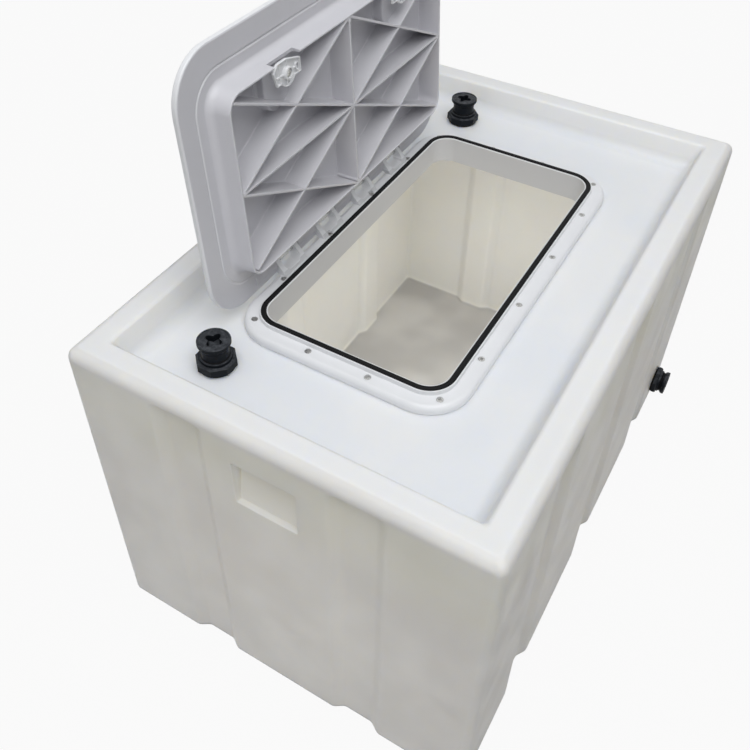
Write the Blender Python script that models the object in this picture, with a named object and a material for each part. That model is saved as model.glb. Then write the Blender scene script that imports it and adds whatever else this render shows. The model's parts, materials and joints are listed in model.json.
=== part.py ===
"""Live fish transport box: a rotomoulded tank with a hinged deck hatch, two deck plugs and a drain.

Metres, +Z up. The origin is the middle of the tank's base. X runs along the tank's length, the
hatch's latches face -Y and its hinge faces +Y. The hatch is modelled open, as it stands on its stop.
"""
import math

import bmesh
import bpy
from mathutils import Matrix, Vector

# Clearances
GAP = 0.0003              # between pieces that touch
RUN = 0.0003              # radial clearance of a pin or shaft in its bore
SEGMENTS = 18             # sides of a large round
RING_SEGMENTS = 12        # sides of a small washer or seal ring
FINE_SEGMENTS = 8         # sides of a screw or a small bore
THROUGH = 0.010           # how far a cutter runs past the face that it opens
SOFT = 0.001              # broken edge of a small moulding

# Tank
TANK_LENGTH = 0.950
TANK_WIDTH = 0.610
TANK_HEIGHT = 0.565
WALL = 0.008
TANK_CORNER_R = 0.034
DECK_CORNER_R = 0.022
CORNER_STEPS = 4          # facets of each rounded corner
BASE_EDGE_R = 0.010
RIM_WIDTH = 0.042         # flat top of the rim, measured from the outer wall
RIM_OUTER_R = 0.016
RIM_INNER_R = 0.005
RIM_DRAFT = 0.006         # how far the rim's inner wall leans in on its way down
DECK_DROP = 0.042         # deck below the rim
DECK_FILLET = 0.014

# Flutes pressed into the walls
FLUTE_WIDTH = 0.084
FLUTE_FLOOR = 0.040
FLUTE_DEPTH = 0.010
FLUTE_TOP_DROP = 0.018    # top of a flute below the rim
FLUTE_TOP_RUN = 0.010     # height over which a flute fades out
SIDE_FLUTES = 3
SIDE_PITCH = 0.282
END_FLUTES = 2
END_PITCH = 0.256

# Hand grips pressed into both end walls
GRIP_WIDTH = 0.094
GRIP_HEIGHT = 0.078
GRIP_DROP = 0.057         # grip's top edge below the rim
GRIP_DEEP = 0.016         # depth at its top edge
GRIP_SHALLOW = 0.006      # depth at its bottom edge
GRIP_TAPER = 0.004        # how far its sides lean in

# Hatch frame, in insets from the flange's outer edge and heights above the deck
FRAME_LENGTH = 0.606
FRAME_WIDTH = 0.338
FRAME_X = -0.003
FRAME_Y = 0.010
FRAME_CORNER_R = 0.062
FLANGE_TOP = 0.013
FLANGE_EDGE_R = 0.008
SCREW_INSET = 0.014
SCREW_CORNER_INSET = 0.0138
SCREW_LONG_PITCH = 0.123
SCREW_SHORT_PITCH = 0.0905
LIP_INSET = 0.0195
LIP_TOP = 0.020
LIP_WALL = 0.0015
LIP_EDGE = 0.0007
OPENING_INSET = 0.0325
COAMING_WALL = 0.005
COAMING_BELOW = 0.025     # coaming's lower edge below the deck's surface
SEAL_FLOOR = 0.015
SEAL_TOP = 0.022
DECK_HOLE_CLEAR = 0.001
GASKET_OUTER = 0.0175     # the gasket lies in a groove under the flange
GASKET_INNER = 0.0250
GASKET_THICK = 0.0020

# Frame screws
SCREW_HEAD_R = 0.0045
SCREW_SHANK_R = 0.0019
SCREW_HEAD_DEPTH = 0.0026
SCREW_BELOW_DECK = 0.012

# Hinge, along X
PIN_OUT = 0.006           # pin's axis outside the flange's edge
PIN_ABOVE_DECK = 0.027
PIN_R = 0.0020
BARREL_R = 0.007
BARREL_FOOT_IN = 0.0005   # a lid knuckle's foot inside the rim's faces
KNUCKLE_PITCH = 0.102     # from one lid knuckle to the next
LID_KNUCKLES = 5
LID_KNUCKLE_LENGTH = 0.046
KNUCKLE_SIDE_GAP = 0.001
SCALLOP_DEPTH = 0.020
ARM_FOOT_IN = 0.022       # foot of a frame knuckle, inside the pin's axis
ARM_FOOT_OUT = 0.009
ARM_FOOT_SINK = 0.001     # foot's depth into the flange
LID_OPEN_DEG = 93.3

# Lid
LID_LENGTH = FRAME_LENGTH + 0.029
LID_WIDTH = FRAME_WIDTH + 0.037
LID_CORNER_R = 0.066
LID_EDGE = 0.009          # thickness of its rim
LID_CROWN = 0.005
LID_PLATE = 0.0045
LID_PLATE_RISE = 0.001    # the crown lifts the plate's underside this far
SKIRT_CLEAR = 0.004       # to the coaming
SKIRT_HEIGHT = 0.031
SKIRT_WALL = 0.003
SKIRT_DRAFT = 0.0015
SKIRT_ROOT = 0.004
RIB = 0.003
RIB_DROP = 0.0005         # ribs end this far short of the skirt's edge

# Latches, turned a quarter from the top of the lid
LATCH_X = 0.146
LATCH_FROM_SKIRT = 0.020  # latch's axis inside the skirt's outer face
WELL_WIDTH = 0.053
WELL_WALL = 0.0025
WELL_FLOOR = 0.0035
WELL_DEPTH = 0.0155       # below the underside of the plate
WELL_REACH_BACK = 0.055   # from the latch's axis towards the hinge
WELL_REACH_FRONT = 0.0175
SHAFT_R = 0.005
SHAFT_SQUARE = 0.007
BOSS_R = 0.011
BOSS_DRAFT = 0.001
WASHER_R = 0.0105
WASHER_THICK = 0.0015
CAM_THICK = 0.004
CAM_TOP_DROP = 0.026      # cam's upper face below the lid's underside
CAM_LOBE_IN_WALL = 0.0045 # lobe's tip inside the coaming's wall, when it is shut
CAM_HUB_R = 0.0085
CAM_HUB_PROUD = 0.003
CAM_POCKET_R = 0.006      # recess round the latch screw's head
CAM_SLOT_R = 0.0035
CAM_ARC_R = 0.0175
CAM_LOBE_HALF = 0.0095
CAM_TAIL = 0.029
NOTCH_WIDTH = 0.054
NOTCH_DEPTH = 0.012
WINDOW_WIDTH = 0.050
WINDOW_CLEAR = 0.0012
KNOB_R = 0.0145
KNOB_DISC = 0.003
KNOB_GRIP_LENGTH = 0.027
KNOB_GRIP_WIDTH = 0.007
KNOB_GRIP_HEIGHT = 0.0105
SEAL_RING_THICK = 0.0015
SEAL_RING_WIDTH = 0.0032
LATCH_SCREW_R = 0.0018
LATCH_SCREW_LENGTH = 0.010
LATCH_SCREW_HEAD_R = 0.0050
LATCH_SCREW_HEAD = 0.002

# Bulkhead fittings with screwed plugs
FITTING_X = 0.364
FITTING_Y = 0.150
BASE_ACROSS_CORNERS = 0.056
BASE_THICK = 0.013
BASE_CHAMFER = 0.0015
TUBE_R = 0.0165
TUBE_BELOW = 0.026        # tube past the wall's outer face
BORE_R = TUBE_R - 0.0035
COLLAR_R = TUBE_R + 0.005
COLLAR_HEIGHT = 0.0035
NECK_R = COLLAR_R - 0.0035
NECK_HEIGHT = 0.0155
NECK_WAIST = 0.0012       # how far the neck draws in
PLUG_HEAD_R = 0.0225
PLUG_FLARE = 0.0035
PLUG_HEAD_THICK = 0.0045
PLUG_RIM = 0.0022         # width of the rim round the head's dished top
PLUG_DISH = 0.0008
PLUG_SHANK_LENGTH = 0.016
KEY_R = 0.0085
KEY_LOBE = 0.0035
KEY_DEPTH = 0.010
KEY_POINTS = 20
NUT_ACROSS_CORNERS = 0.052
NUT_THICK = 0.009
WASHER_SOFT = 0.0025
ORING_THICK = 0.0020
DRAIN_X = 0.400
DRAIN_Z = 0.052
DRAIN_NECK = 0.0015
DRAIN_BASE = 0.008

# Values worked out from the sizes above
DECK_Z = TANK_HEIGHT - DECK_DROP
FLUTE_TOP = TANK_HEIGHT - FLUTE_TOP_DROP
PIN_Y = FRAME_Y + FRAME_WIDTH / 2 + PIN_OUT
PIN_Z = DECK_Z + PIN_ABOVE_DECK
LID_MIDDLE = PIN_Y - FRAME_Y                      # lid's middle from the pin
LID_UNDER = SEAL_TOP + GAP - PIN_ABOVE_DECK       # lid's rim underside from the pin
LID_TOP = LID_UNDER + LID_EDGE
PLATE_UNDER = LID_TOP - LID_PLATE + LID_PLATE_RISE
SKIRT_END = LID_UNDER - SKIRT_HEIGHT
SKIRT_X = FRAME_LENGTH / 2 - OPENING_INSET - SKIRT_CLEAR
SKIRT_Y = FRAME_WIDTH / 2 - OPENING_INSET - SKIRT_CLEAR
LATCH_Y = -LID_MIDDLE - SKIRT_Y + LATCH_FROM_SKIRT
WELL_BOTTOM = PLATE_UNDER - WELL_DEPTH
CAM_TOP = LID_UNDER - CAM_TOP_DROP
LOBE_REACH = LATCH_FROM_SKIRT + SKIRT_CLEAR + CAM_LOBE_IN_WALL


def material(name, colour, roughness, metallic=0.0):
    """A plain Principled material."""
    made = bpy.data.materials.new(name)
    made.use_nodes = True
    shader = made.node_tree.nodes["Principled BSDF"]
    shader.inputs["Base Color"].default_value = (*colour, 1.0)
    shader.inputs["Roughness"].default_value = roughness
    shader.inputs["Metallic"].default_value = metallic
    return made


def finish(name, bm, finish_material, parent=None, place=None):
    """Turns a closed bmesh into a smooth-shaded object, under a parent or at a place."""
    bmesh.ops.remove_doubles(bm, verts=bm.verts, dist=1e-6)
    bmesh.ops.recalc_face_normals(bm, faces=bm.faces)
    mesh = bpy.data.meshes.new(name)
    bm.to_mesh(mesh)
    bm.free()
    mesh.shade_smooth()
    mesh.set_sharp_from_angle(angle=math.radians(32))
    made = bpy.data.objects.new(name, mesh)
    bpy.context.scene.collection.objects.link(made)
    if finish_material:
        mesh.materials.append(finish_material)
    if parent:
        made.parent = parent
    if place:
        made.matrix_local = place
    return made


def combine(target, name, bm, operation, parent=None, place=None):
    """Adds or cuts a hidden shape on a target with a Boolean modifier."""
    tool = finish(name, bm, None, parent, place)
    tool.hide_render = True
    tool.display_type = "WIRE"
    step = target.modifiers.new(name, "BOOLEAN")
    step.operation = operation
    step.object = tool
    step.solver = "EXACT"
    return tool


def axis_empty(name, location, turn=None, parent=None):
    """An empty whose origin lies on a joint's axis."""
    made = bpy.data.objects.new(name, None)
    bpy.context.scene.collection.objects.link(made)
    made.parent = parent
    made.matrix_local = Matrix.Translation(location) @ (turn or Matrix())
    return made


def rounded_rectangle(half_x, half_y, radius, steps=CORNER_STEPS):
    """Outline of a rounded rectangle, anticlockwise from the +X side."""
    outline = []
    for corner, (side_x, side_y) in enumerate(((1, 1), (-1, 1), (-1, -1), (1, -1))):
        for step in range(steps + 1):
            angle = math.pi / 2 * (corner + step / steps)
            outline.append((
                side_x * (half_x - radius) + radius * math.cos(angle),
                side_y * (half_y - radius) + radius * math.sin(angle),
            ))
    return outline


def raised(outline, z, x=0.0, y=0.0):
    """An outline at height z, moved by x and y."""
    return [Vector((px + x, py + y, z)) for px, py in outline]


def loft(bm, loops, closed=False):
    """Skins loops that have as many points each, and caps the ends or joins last to first."""
    rings = [[bm.verts.new(point) for point in loop] for loop in loops]
    pairs = list(zip(rings, rings[1:]))
    if closed:
        pairs.append((rings[-1], rings[0]))
    else:
        bm.faces.new(rings[0])
        bm.faces.new(rings[-1])
    for low, high in pairs:
        count = len(low)
        for k in range(count):
            bm.faces.new((low[k], low[(k + 1) % count], high[(k + 1) % count], high[k]))


def lathe(bm, profile, segments=SEGMENTS, closed=False, centre=(0, 0)):
    """Turns a profile of radius and height about Z. A closed profile makes a ring."""
    loops = []
    for radius, z in profile:
        loops.append([
            Vector((centre[0] + radius * math.cos(a), centre[1] + radius * math.sin(a), z))
            for a in (2 * math.pi * k / segments for k in range(segments))
        ])
    loft(bm, loops, closed)


def prism(bm, outline, low, high):
    """Extrudes a flat outline from one height to another."""
    loft(bm, [raised(outline, low), raised(outline, high)])


def box(bm, low, high):
    """A box between two corners."""
    outline = ((low[0], low[1]), (high[0], low[1]), (high[0], high[1]), (low[0], high[1]))
    prism(bm, outline, low[2], high[2])


def rod_x(bm, radius, x0, x1, y=0.0, z=0.0, segments=FINE_SEGMENTS):
    """A round bar along X."""
    circle = [(radius * math.cos(a), radius * math.sin(a))
              for a in (2 * math.pi * k / segments for k in range(segments))]
    loft(bm, [[Vector((x, y + cy, z + cz)) for cy, cz in circle] for x in (x0, x1)])


def polygon(count, across_corners, turn=0.0):
    """Corners of a regular polygon."""
    return [(across_corners / 2 * math.cos(a), across_corners / 2 * math.sin(a))
            for a in (turn + 2 * math.pi * k / count for k in range(count))]


def corner_radius(inset):
    """Plan radius of the tank's corners at an inset from its outer wall."""
    return max(TANK_CORNER_R - inset, DECK_CORNER_R)


def plain_loop(inset, z):
    """The tank's outline without flutes."""
    radius = corner_radius(inset)
    return raised(rounded_rectangle(TANK_LENGTH / 2 - inset, TANK_WIDTH / 2 - inset, radius), z)


def flute_section():
    """Offsets along the wall and share of the depth across one flute, a soft trapezoid."""
    edge, floor = FLUTE_WIDTH / 2, FLUTE_FLOOR / 2
    soft = (edge - floor) / 5
    half = ((edge, 0.0), (edge - soft, 0.08), (floor, 1.0))
    return [(-x, share) for x, share in half] + [(x, share) for x, share in reversed(half)]


def fluted_loop(inset, depth, z):
    """The tank's outline with its flutes pressed in by a depth."""
    half_x, half_y = TANK_LENGTH / 2 - inset, TANK_WIDTH / 2 - inset
    corners = rounded_rectangle(half_x, half_y, corner_radius(inset))
    per_corner = CORNER_STEPS + 1
    section = flute_section()
    loop = []
    for side in range(4):
        loop += corners[side * per_corner:(side + 1) * per_corner]
        count, pitch = (SIDE_FLUTES, SIDE_PITCH) if side % 2 == 0 else (END_FLUTES, END_PITCH)
        onward = -1 if side < 2 else 1
        for k in range(count):
            middle = (k - (count - 1) / 2) * pitch
            for offset, share in section:
                along = onward * (middle + offset)
                press = share * depth
                if side % 2 == 0:
                    loop.append((along, -onward * (half_y - press)))
                else:
                    loop.append((onward * (half_x - press), along))
    return raised(loop, z)


def arc_pairs(radius, start_deg, end_deg, steps):
    """Cosine and sine offsets along an arc."""
    return [(radius * math.cos(a), radius * math.sin(a)) for a in (
        math.radians(start_deg + (end_deg - start_deg) * k / steps) for k in range(steps + 1))]


def tank_shell(bm):
    """Skins the tank from its base up the outside, over the rim, through the hatch hole and
    back down the inside to its floor. Fluted loops carry the walls, plain ones the rest."""
    hole_inset = OPENING_INSET - COAMING_WALL - DECK_HOLE_CLEAR
    hole = rounded_rectangle(FRAME_LENGTH / 2 - hole_inset, FRAME_WIDTH / 2 - hole_inset,
                             FRAME_CORNER_R - hole_inset)
    foot = RIM_WIDTH + RIM_INNER_R + RIM_DRAFT
    deck_under = DECK_Z - WALL
    hollow = foot - WALL
    fluted, plain = True, False
    loops = []
    for dx, dz in arc_pairs(BASE_EDGE_R, -90, 0, 2):
        loops.append((fluted, fluted_loop(BASE_EDGE_R - dx, FLUTE_DEPTH, BASE_EDGE_R + dz)))
    loops.append((fluted, fluted_loop(0, FLUTE_DEPTH, FLUTE_TOP - FLUTE_TOP_RUN)))
    loops.append((fluted, fluted_loop(0, FLUTE_DEPTH / 3, FLUTE_TOP - FLUTE_TOP_RUN / 4)))
    loops.append((fluted, fluted_loop(0, 0, FLUTE_TOP)))
    for dx, dz in arc_pairs(RIM_OUTER_R, 0, 90, 5):
        loops.append((plain, plain_loop(RIM_OUTER_R - dx, TANK_HEIGHT - RIM_OUTER_R + dz)))
    for dx, dz in arc_pairs(RIM_INNER_R, 90, 0, 3):
        loops.append((plain, plain_loop(RIM_WIDTH + dx, TANK_HEIGHT - RIM_INNER_R + dz)))
    for dx, dz in arc_pairs(DECK_FILLET, 180, 270, 4):
        loops.append((plain, plain_loop(foot + DECK_FILLET + dx, DECK_Z + DECK_FILLET + dz)))
    loops.append((plain, raised(hole, DECK_Z, FRAME_X, FRAME_Y)))
    loops.append((plain, raised(hole, deck_under, FRAME_X, FRAME_Y)))
    for dx, dz in arc_pairs(DECK_FILLET, 270, 180, 3):
        loops.append((plain, plain_loop(hollow + DECK_FILLET + dx, deck_under + DECK_FILLET + dz)))
    loops.append((plain, plain_loop(RIM_WIDTH - WALL / 2, TANK_HEIGHT - WALL - RIM_INNER_R)))
    loops.append((plain, plain_loop(RIM_WIDTH - WALL, TANK_HEIGHT - WALL)))
    inner_rim_r = RIM_OUTER_R - WALL
    for dx, dz in arc_pairs(inner_rim_r, 90, 0, 2):
        loops.append((plain, plain_loop(WALL + inner_rim_r - dx, TANK_HEIGHT - RIM_OUTER_R + dz)))
    loops.append((fluted, fluted_loop(WALL, 0, FLUTE_TOP - WALL / 4)))
    loops.append((fluted, fluted_loop(WALL, FLUTE_DEPTH, FLUTE_TOP - FLUTE_TOP_RUN)))
    for dx, dz in arc_pairs(BASE_EDGE_R, 0, -90, 2):
        loops.append((fluted,
                      fluted_loop(WALL + BASE_EDGE_R - dx, FLUTE_DEPTH, WALL + BASE_EDGE_R + dz)))

    rings = [(kind, [bm.verts.new(point) for point in loop]) for kind, loop in loops]
    bm.faces.new(rings[0][1])
    bm.faces.new(rings[-1][1])
    for (low_kind, low), (high_kind, high) in zip(rings, rings[1:]):
        if low_kind == high_kind:
            for k in range(len(low)):
                after = (k + 1) % len(low)
                bm.faces.new((low[k], low[after], high[after], high[k]))
        else:
            dense, sparse = (low, high) if low_kind else (high, low)
            join_dense_to_sparse(bm, dense, sparse)


def join_dense_to_sparse(bm, dense, sparse):
    """Joins a fluted ring to a plain one: corner arcs point by point, each side as one face."""
    per_corner = CORNER_STEPS + 1
    at = 0
    for side in range(4):
        flutes = SIDE_FLUTES if side % 2 == 0 else END_FLUTES
        extra = flutes * len(flute_section())
        first = side * per_corner
        for k in range(CORNER_STEPS):
            bm.faces.new((dense[at + k], dense[at + k + 1], sparse[first + k + 1], sparse[first + k]))
        start = at + CORNER_STEPS
        run = [dense[(start + k) % len(dense)] for k in range(extra + 2)]
        bm.faces.new(run + [sparse[(first + per_corner) % len(sparse)],
                            sparse[first + CORNER_STEPS]])
        at += per_corner + extra


def grip_block(bm, side, grow, reach_out):
    """The wedge of a hand grip on one end wall, grown by a wall thickness or not."""
    wall_x = TANK_LENGTH / 2
    top = TANK_HEIGHT - GRIP_DROP
    half, low = GRIP_WIDTH / 2, top - GRIP_HEIGHT
    outer = [(wall_x + reach_out, y, z) for y, z in (
        (-half - grow, low - grow), (half + grow, low - grow),
        (half + grow, top + grow), (-half - grow, top + grow))]
    inner_half = half - GRIP_TAPER + grow
    inner_low, inner_high = low + GRIP_TAPER - grow, top - GRIP_TAPER / 2 + grow
    inner = [(wall_x - depth - grow, y, z) for depth, y, z in (
        (GRIP_SHALLOW, -inner_half, inner_low), (GRIP_SHALLOW, inner_half, inner_low),
        (GRIP_DEEP, inner_half, inner_high), (GRIP_DEEP, -inner_half, inner_high))]
    loft(bm, [[Vector((side * x, y, z)) for x, y, z in loop] for loop in (outer, inner)])


def frame_screw_places():
    """Places of the frame's screws around the flange, from its middle."""
    half_x, half_y = FRAME_LENGTH / 2 - SCREW_INSET, FRAME_WIDTH / 2 - SCREW_INSET
    corner = SCREW_CORNER_INSET
    places = []
    for side in (-1, 1):
        places += [(side * (half_x - corner), half_y - corner),
                   (side * (half_x - corner), corner - half_y)]
        places += [(side * half_x, k * SCREW_SHORT_PITCH) for k in (-0.5, 0.5)]
        places += [(k * SCREW_LONG_PITCH, side * half_y) for k in (-1.5, -0.5, 0.5, 1.5)]
    return sorted(places, key=lambda place: math.atan2(place[1], place[0]))


def build_tank(plastic):
    """The tank: one hollow moulding with a sunk deck, fluted walls and two hand grips."""
    bm = bmesh.new()
    tank_shell(bm)
    tank = finish("tank_body", bm, plastic)

    pads = bmesh.new()
    for side in (-1, 1):
        grip_block(pads, side, WALL, -WALL / 2)
    combine(tank, "grip_pad_tool", pads, "UNION")
    grips = bmesh.new()
    for side in (-1, 1):
        grip_block(grips, side, 0, 2 * THROUGH)
    combine(tank, "grip_tool", grips, "DIFFERENCE")

    holes = bmesh.new()
    low, high = DECK_Z - 2 * WALL, DECK_Z + WALL
    for x, y in frame_screw_places():
        lathe(holes, ((SCREW_SHANK_R + RUN, low), (SCREW_SHANK_R + RUN, high)), FINE_SEGMENTS,
              centre=(FRAME_X + x, FRAME_Y + y))
    for side in (-1, 1):
        lathe(holes, ((TUBE_R + RUN, low), (TUBE_R + RUN, high)), SEGMENTS,
              centre=(side * FITTING_X, FITTING_Y))
    combine(tank, "deck_hole_tool", holes, "DIFFERENCE")
    drain = bmesh.new()
    lathe(drain, ((TUBE_R + RUN, -2 * WALL), (TUBE_R + RUN, 2 * WALL)))
    combine(tank, "drain_hole_tool", drain, "DIFFERENCE", place=drain_place())
    return tank


def drain_place():
    """The drain's frame: its own +Z points out of the tank's -Y wall."""
    return Matrix.Translation((DRAIN_X, -TANK_WIDTH / 2, DRAIN_Z)) @ Matrix.Rotation(
        math.radians(90), 4, "X")


def frame_loops(profile):
    """Loops round the hatch frame for a profile of inset and height above the deck."""
    loops = []
    for inset, height in profile:
        outline = rounded_rectangle(FRAME_LENGTH / 2 - inset, FRAME_WIDTH / 2 - inset,
                                    FRAME_CORNER_R - inset)
        loops.append(raised(outline, DECK_Z + height, FRAME_X, FRAME_Y))
    return loops


def barrel_hull(bm, x0, x1, foot, sides=14):
    """A knuckle along X: the hull of a barrel round the pin's axis and a foot of y, z points."""
    points = [(BARREL_R * math.cos(a), BARREL_R * math.sin(a))
              for a in (2 * math.pi * k / sides for k in range(sides))] + list(foot)
    verts = [bm.verts.new((x, y, z)) for x in (x0, x1) for y, z in points]
    made = bmesh.ops.convex_hull(bm, input=verts)
    loose = [e for e in made["geom_interior"] if isinstance(e, bmesh.types.BMVert)]
    bmesh.ops.delete(bm, geom=loose, context="VERTS")
    bmesh.ops.dissolve_limit(bm, angle_limit=math.radians(1), verts=bm.verts, edges=bm.edges)


def lid_knuckle_centres():
    """Middles of the lid's knuckles along the pin."""
    return [(k - (LID_KNUCKLES - 1) / 2) * KNUCKLE_PITCH for k in range(LID_KNUCKLES)]


def frame_knuckle_centres():
    """Middles of the frame's knuckles, between the lid's."""
    centres = lid_knuckle_centres()
    return [(a + b) / 2 for a, b in zip(centres, centres[1:])]


def frame_knuckle_length():
    """A frame knuckle fills the space between two lid knuckles, with a gap at each end."""
    return KNUCKLE_PITCH - LID_KNUCKLE_LENGTH - 2 * KNUCKLE_SIDE_GAP


def build_frame(plastic):
    """The hatch frame: flange, seal lip and coaming in one moulding, with its hinge knuckles."""
    opening, coaming = OPENING_INSET, OPENING_INSET - COAMING_WALL
    r = FLANGE_EDGE_R
    profile = [(r - dx, FLANGE_TOP - r + dz) for dx, dz in arc_pairs(r, 0, 90, 4)]
    profile += [
        (LIP_INSET - LIP_EDGE, FLANGE_TOP), (LIP_INSET, FLANGE_TOP + LIP_EDGE),
        (LIP_INSET, LIP_TOP - LIP_EDGE), (LIP_INSET + LIP_EDGE, LIP_TOP),
        (LIP_INSET + LIP_WALL, LIP_TOP), (LIP_INSET + LIP_WALL, SEAL_FLOOR),
        (opening - LIP_WALL, SEAL_FLOOR), (opening - LIP_WALL, LIP_TOP),
        (opening - LIP_EDGE, LIP_TOP), (opening, LIP_TOP - LIP_EDGE),
        (opening, -COAMING_BELOW + LIP_EDGE), (opening - LIP_EDGE, -COAMING_BELOW),
        (coaming + LIP_EDGE, -COAMING_BELOW), (coaming, -COAMING_BELOW + LIP_EDGE),
        (coaming, GAP),
        (GASKET_INNER + GAP, GAP), (GASKET_INNER + GAP, GASKET_THICK + 2 * GAP),
        (GASKET_OUTER - GAP, GASKET_THICK + 2 * GAP), (GASKET_OUTER - GAP, GAP),
        (LIP_EDGE, GAP), (0, GAP + LIP_EDGE),
    ]
    bm = bmesh.new()
    loft(bm, frame_loops(profile), closed=True)
    frame = finish("hatch_frame", bm, plastic)

    arms = bmesh.new()
    foot_z = FLANGE_TOP - PIN_ABOVE_DECK - ARM_FOOT_SINK
    half = frame_knuckle_length() / 2
    for middle in frame_knuckle_centres():
        barrel_hull(arms, middle - half, middle + half,
                    ((-ARM_FOOT_IN, foot_z), (-ARM_FOOT_OUT, foot_z)))
    combine(frame, "frame_knuckle_tool", arms, "UNION",
            place=Matrix.Translation((FRAME_X, PIN_Y, PIN_Z)))

    pin_bore = bmesh.new()
    reach = hinge_pin_reach()
    rod_x(pin_bore, PIN_R + RUN, -reach, reach)
    combine(frame, "frame_pin_bore_tool", pin_bore, "DIFFERENCE",
            place=Matrix.Translation((FRAME_X, PIN_Y, PIN_Z)))

    sinks = bmesh.new()
    for x, y in frame_screw_places():
        lathe(sinks, countersink(GAP), FINE_SEGMENTS, centre=(FRAME_X + x, FRAME_Y + y))
    combine(frame, "countersink_tool", sinks, "DIFFERENCE")

    windows = bmesh.new()
    wall_y = FRAME_Y - FRAME_WIDTH / 2 + OPENING_INSET
    cam_z = PIN_Z + CAM_TOP
    for side in (-1, 1):
        middle = FRAME_X + side * LATCH_X
        box(windows,
            (middle - WINDOW_WIDTH / 2, wall_y - 2 * COAMING_WALL, cam_z - CAM_THICK - WINDOW_CLEAR),
            (middle + WINDOW_WIDTH / 2, wall_y + COAMING_WALL, cam_z + WINDOW_CLEAR))
    combine(frame, "strike_window_tool", windows, "DIFFERENCE")
    return frame


def countersink(clear):
    """Profile of a screw, or of its hole when clear is above 0, from under the deck upwards."""
    head_z = DECK_Z + FLANGE_TOP
    low = DECK_Z - SCREW_BELOW_DECK - (THROUGH if clear else 0.0)
    high = head_z + (THROUGH if clear else -GAP)
    return ((SCREW_SHANK_R + clear, low),
            (SCREW_SHANK_R + clear, head_z - SCREW_HEAD_DEPTH - clear),
            (SCREW_HEAD_R + clear, head_z - GAP - clear / 2),
            (SCREW_HEAD_R + clear, high))


def build_frame_trim(rubber, foam, steel):
    """The lid's seal in its groove, the gasket under the flange, and the screws."""
    outer, inner = LIP_INSET + LIP_WALL + GAP, OPENING_INSET - LIP_WALL - GAP
    soft = (inner - outer) / 4
    crown = (SEAL_TOP - SEAL_FLOOR) / 4
    low = SEAL_FLOOR + GAP
    seal = bmesh.new()
    loft(seal, frame_loops((
        (outer, low), (outer, SEAL_TOP - crown), (outer + soft, SEAL_TOP - crown / 4),
        (outer + 2 * soft, SEAL_TOP), (inner - soft, SEAL_TOP - crown / 4),
        (inner, SEAL_TOP - crown), (inner, low))), closed=True)
    finish("lid_seal", seal, rubber)

    gasket = bmesh.new()
    loft(gasket, frame_loops((
        (GASKET_OUTER, GAP), (GASKET_OUTER, GAP + GASKET_THICK),
        (GASKET_INNER, GAP + GASKET_THICK), (GASKET_INNER, GAP))), closed=True)
    finish("frame_gasket", gasket, foam)

    profile = countersink(0.0)
    origin = DECK_Z + FLANGE_TOP
    for number, (x, y) in enumerate(frame_screw_places(), 1):
        screw = bmesh.new()
        lathe(screw, [(radius, z - origin) for radius, z in profile[:3]], FINE_SEGMENTS)
        finish(f"frame_screw_{number:02d}", screw, steel,
               place=Matrix.Translation((FRAME_X + x, FRAME_Y + y, origin)))


def hinge_pin_reach():
    """Half the pin's length: it ends flush with the outermost lid knuckles."""
    return lid_knuckle_centres()[-1] + LID_KNUCKLE_LENGTH / 2


def build_hinge_pin(steel):
    """One straight rod through all the knuckles."""
    bm = bmesh.new()
    reach = hinge_pin_reach()
    rod_x(bm, PIN_R, -reach, reach)
    finish("hinge_pin", bm, steel, place=Matrix.Translation((FRAME_X, PIN_Y, PIN_Z)))


def lid_shell(bm):
    """The lid's crowned plate, thick rim and skirt as one lofted skin, closed and level."""
    half_x, half_y = LID_LENGTH / 2, LID_WIDTH / 2

    def rim(inset, z):
        radius = max(LID_CORNER_R - inset, LID_CORNER_R / 4)
        outline = rounded_rectangle(half_x - inset, half_y - inset, radius)
        return raised(outline, z, 0, -LID_MIDDLE)

    def wall(grow, z):
        radius = FRAME_CORNER_R - OPENING_INSET - SKIRT_CLEAR + grow
        outline = rounded_rectangle(SKIRT_X + grow, SKIRT_Y + grow, radius)
        return raised(outline, z, 0, -LID_MIDDLE)

    edge_r = LID_EDGE / 3
    tip = SKIRT_WALL / 6
    loops = [rim(LID_WIDTH / 4, LID_TOP + LID_CROWN), rim(LID_WIDTH / 8, LID_TOP + 0.7 * LID_CROWN),
             rim(LID_WIDTH / 20, LID_TOP + 0.25 * LID_CROWN), rim(1.6 * edge_r, LID_TOP)]
    loops += [rim(edge_r - dx, LID_TOP - edge_r + dz) for dx, dz in arc_pairs(edge_r, 60, 0, 2)]
    loops += [rim(edge_r - dx, LID_UNDER + edge_r + dz) for dx, dz in arc_pairs(edge_r, 0, -90, 2)]
    loops += [wall(SKIRT_ROOT, LID_UNDER), wall(SKIRT_ROOT / 4, LID_UNDER - SKIRT_ROOT / 4),
              wall(0, LID_UNDER - SKIRT_ROOT),
              wall(-SKIRT_DRAFT, SKIRT_END + tip), wall(-SKIRT_DRAFT - tip, SKIRT_END),
              wall(tip - SKIRT_DRAFT - SKIRT_WALL, SKIRT_END),
              wall(-SKIRT_DRAFT - SKIRT_WALL, SKIRT_END + tip),
              wall(-2 * SKIRT_DRAFT - SKIRT_WALL, PLATE_UNDER - SKIRT_ROOT / 2),
              wall(-2 * SKIRT_DRAFT - SKIRT_WALL - SKIRT_ROOT / 2, PLATE_UNDER)]
    loft(bm, loops)


def bar(start, end, width):
    """Outline of a straight bar between two points."""
    along = (Vector(end) - Vector(start)).normalized()
    across = Vector((-along.y, along.x)) * width / 2
    return [tuple(Vector(p) + side * across) for p, side in (
        (start, -1), (end, -1), (end, 1), (start, 1))]


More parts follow.
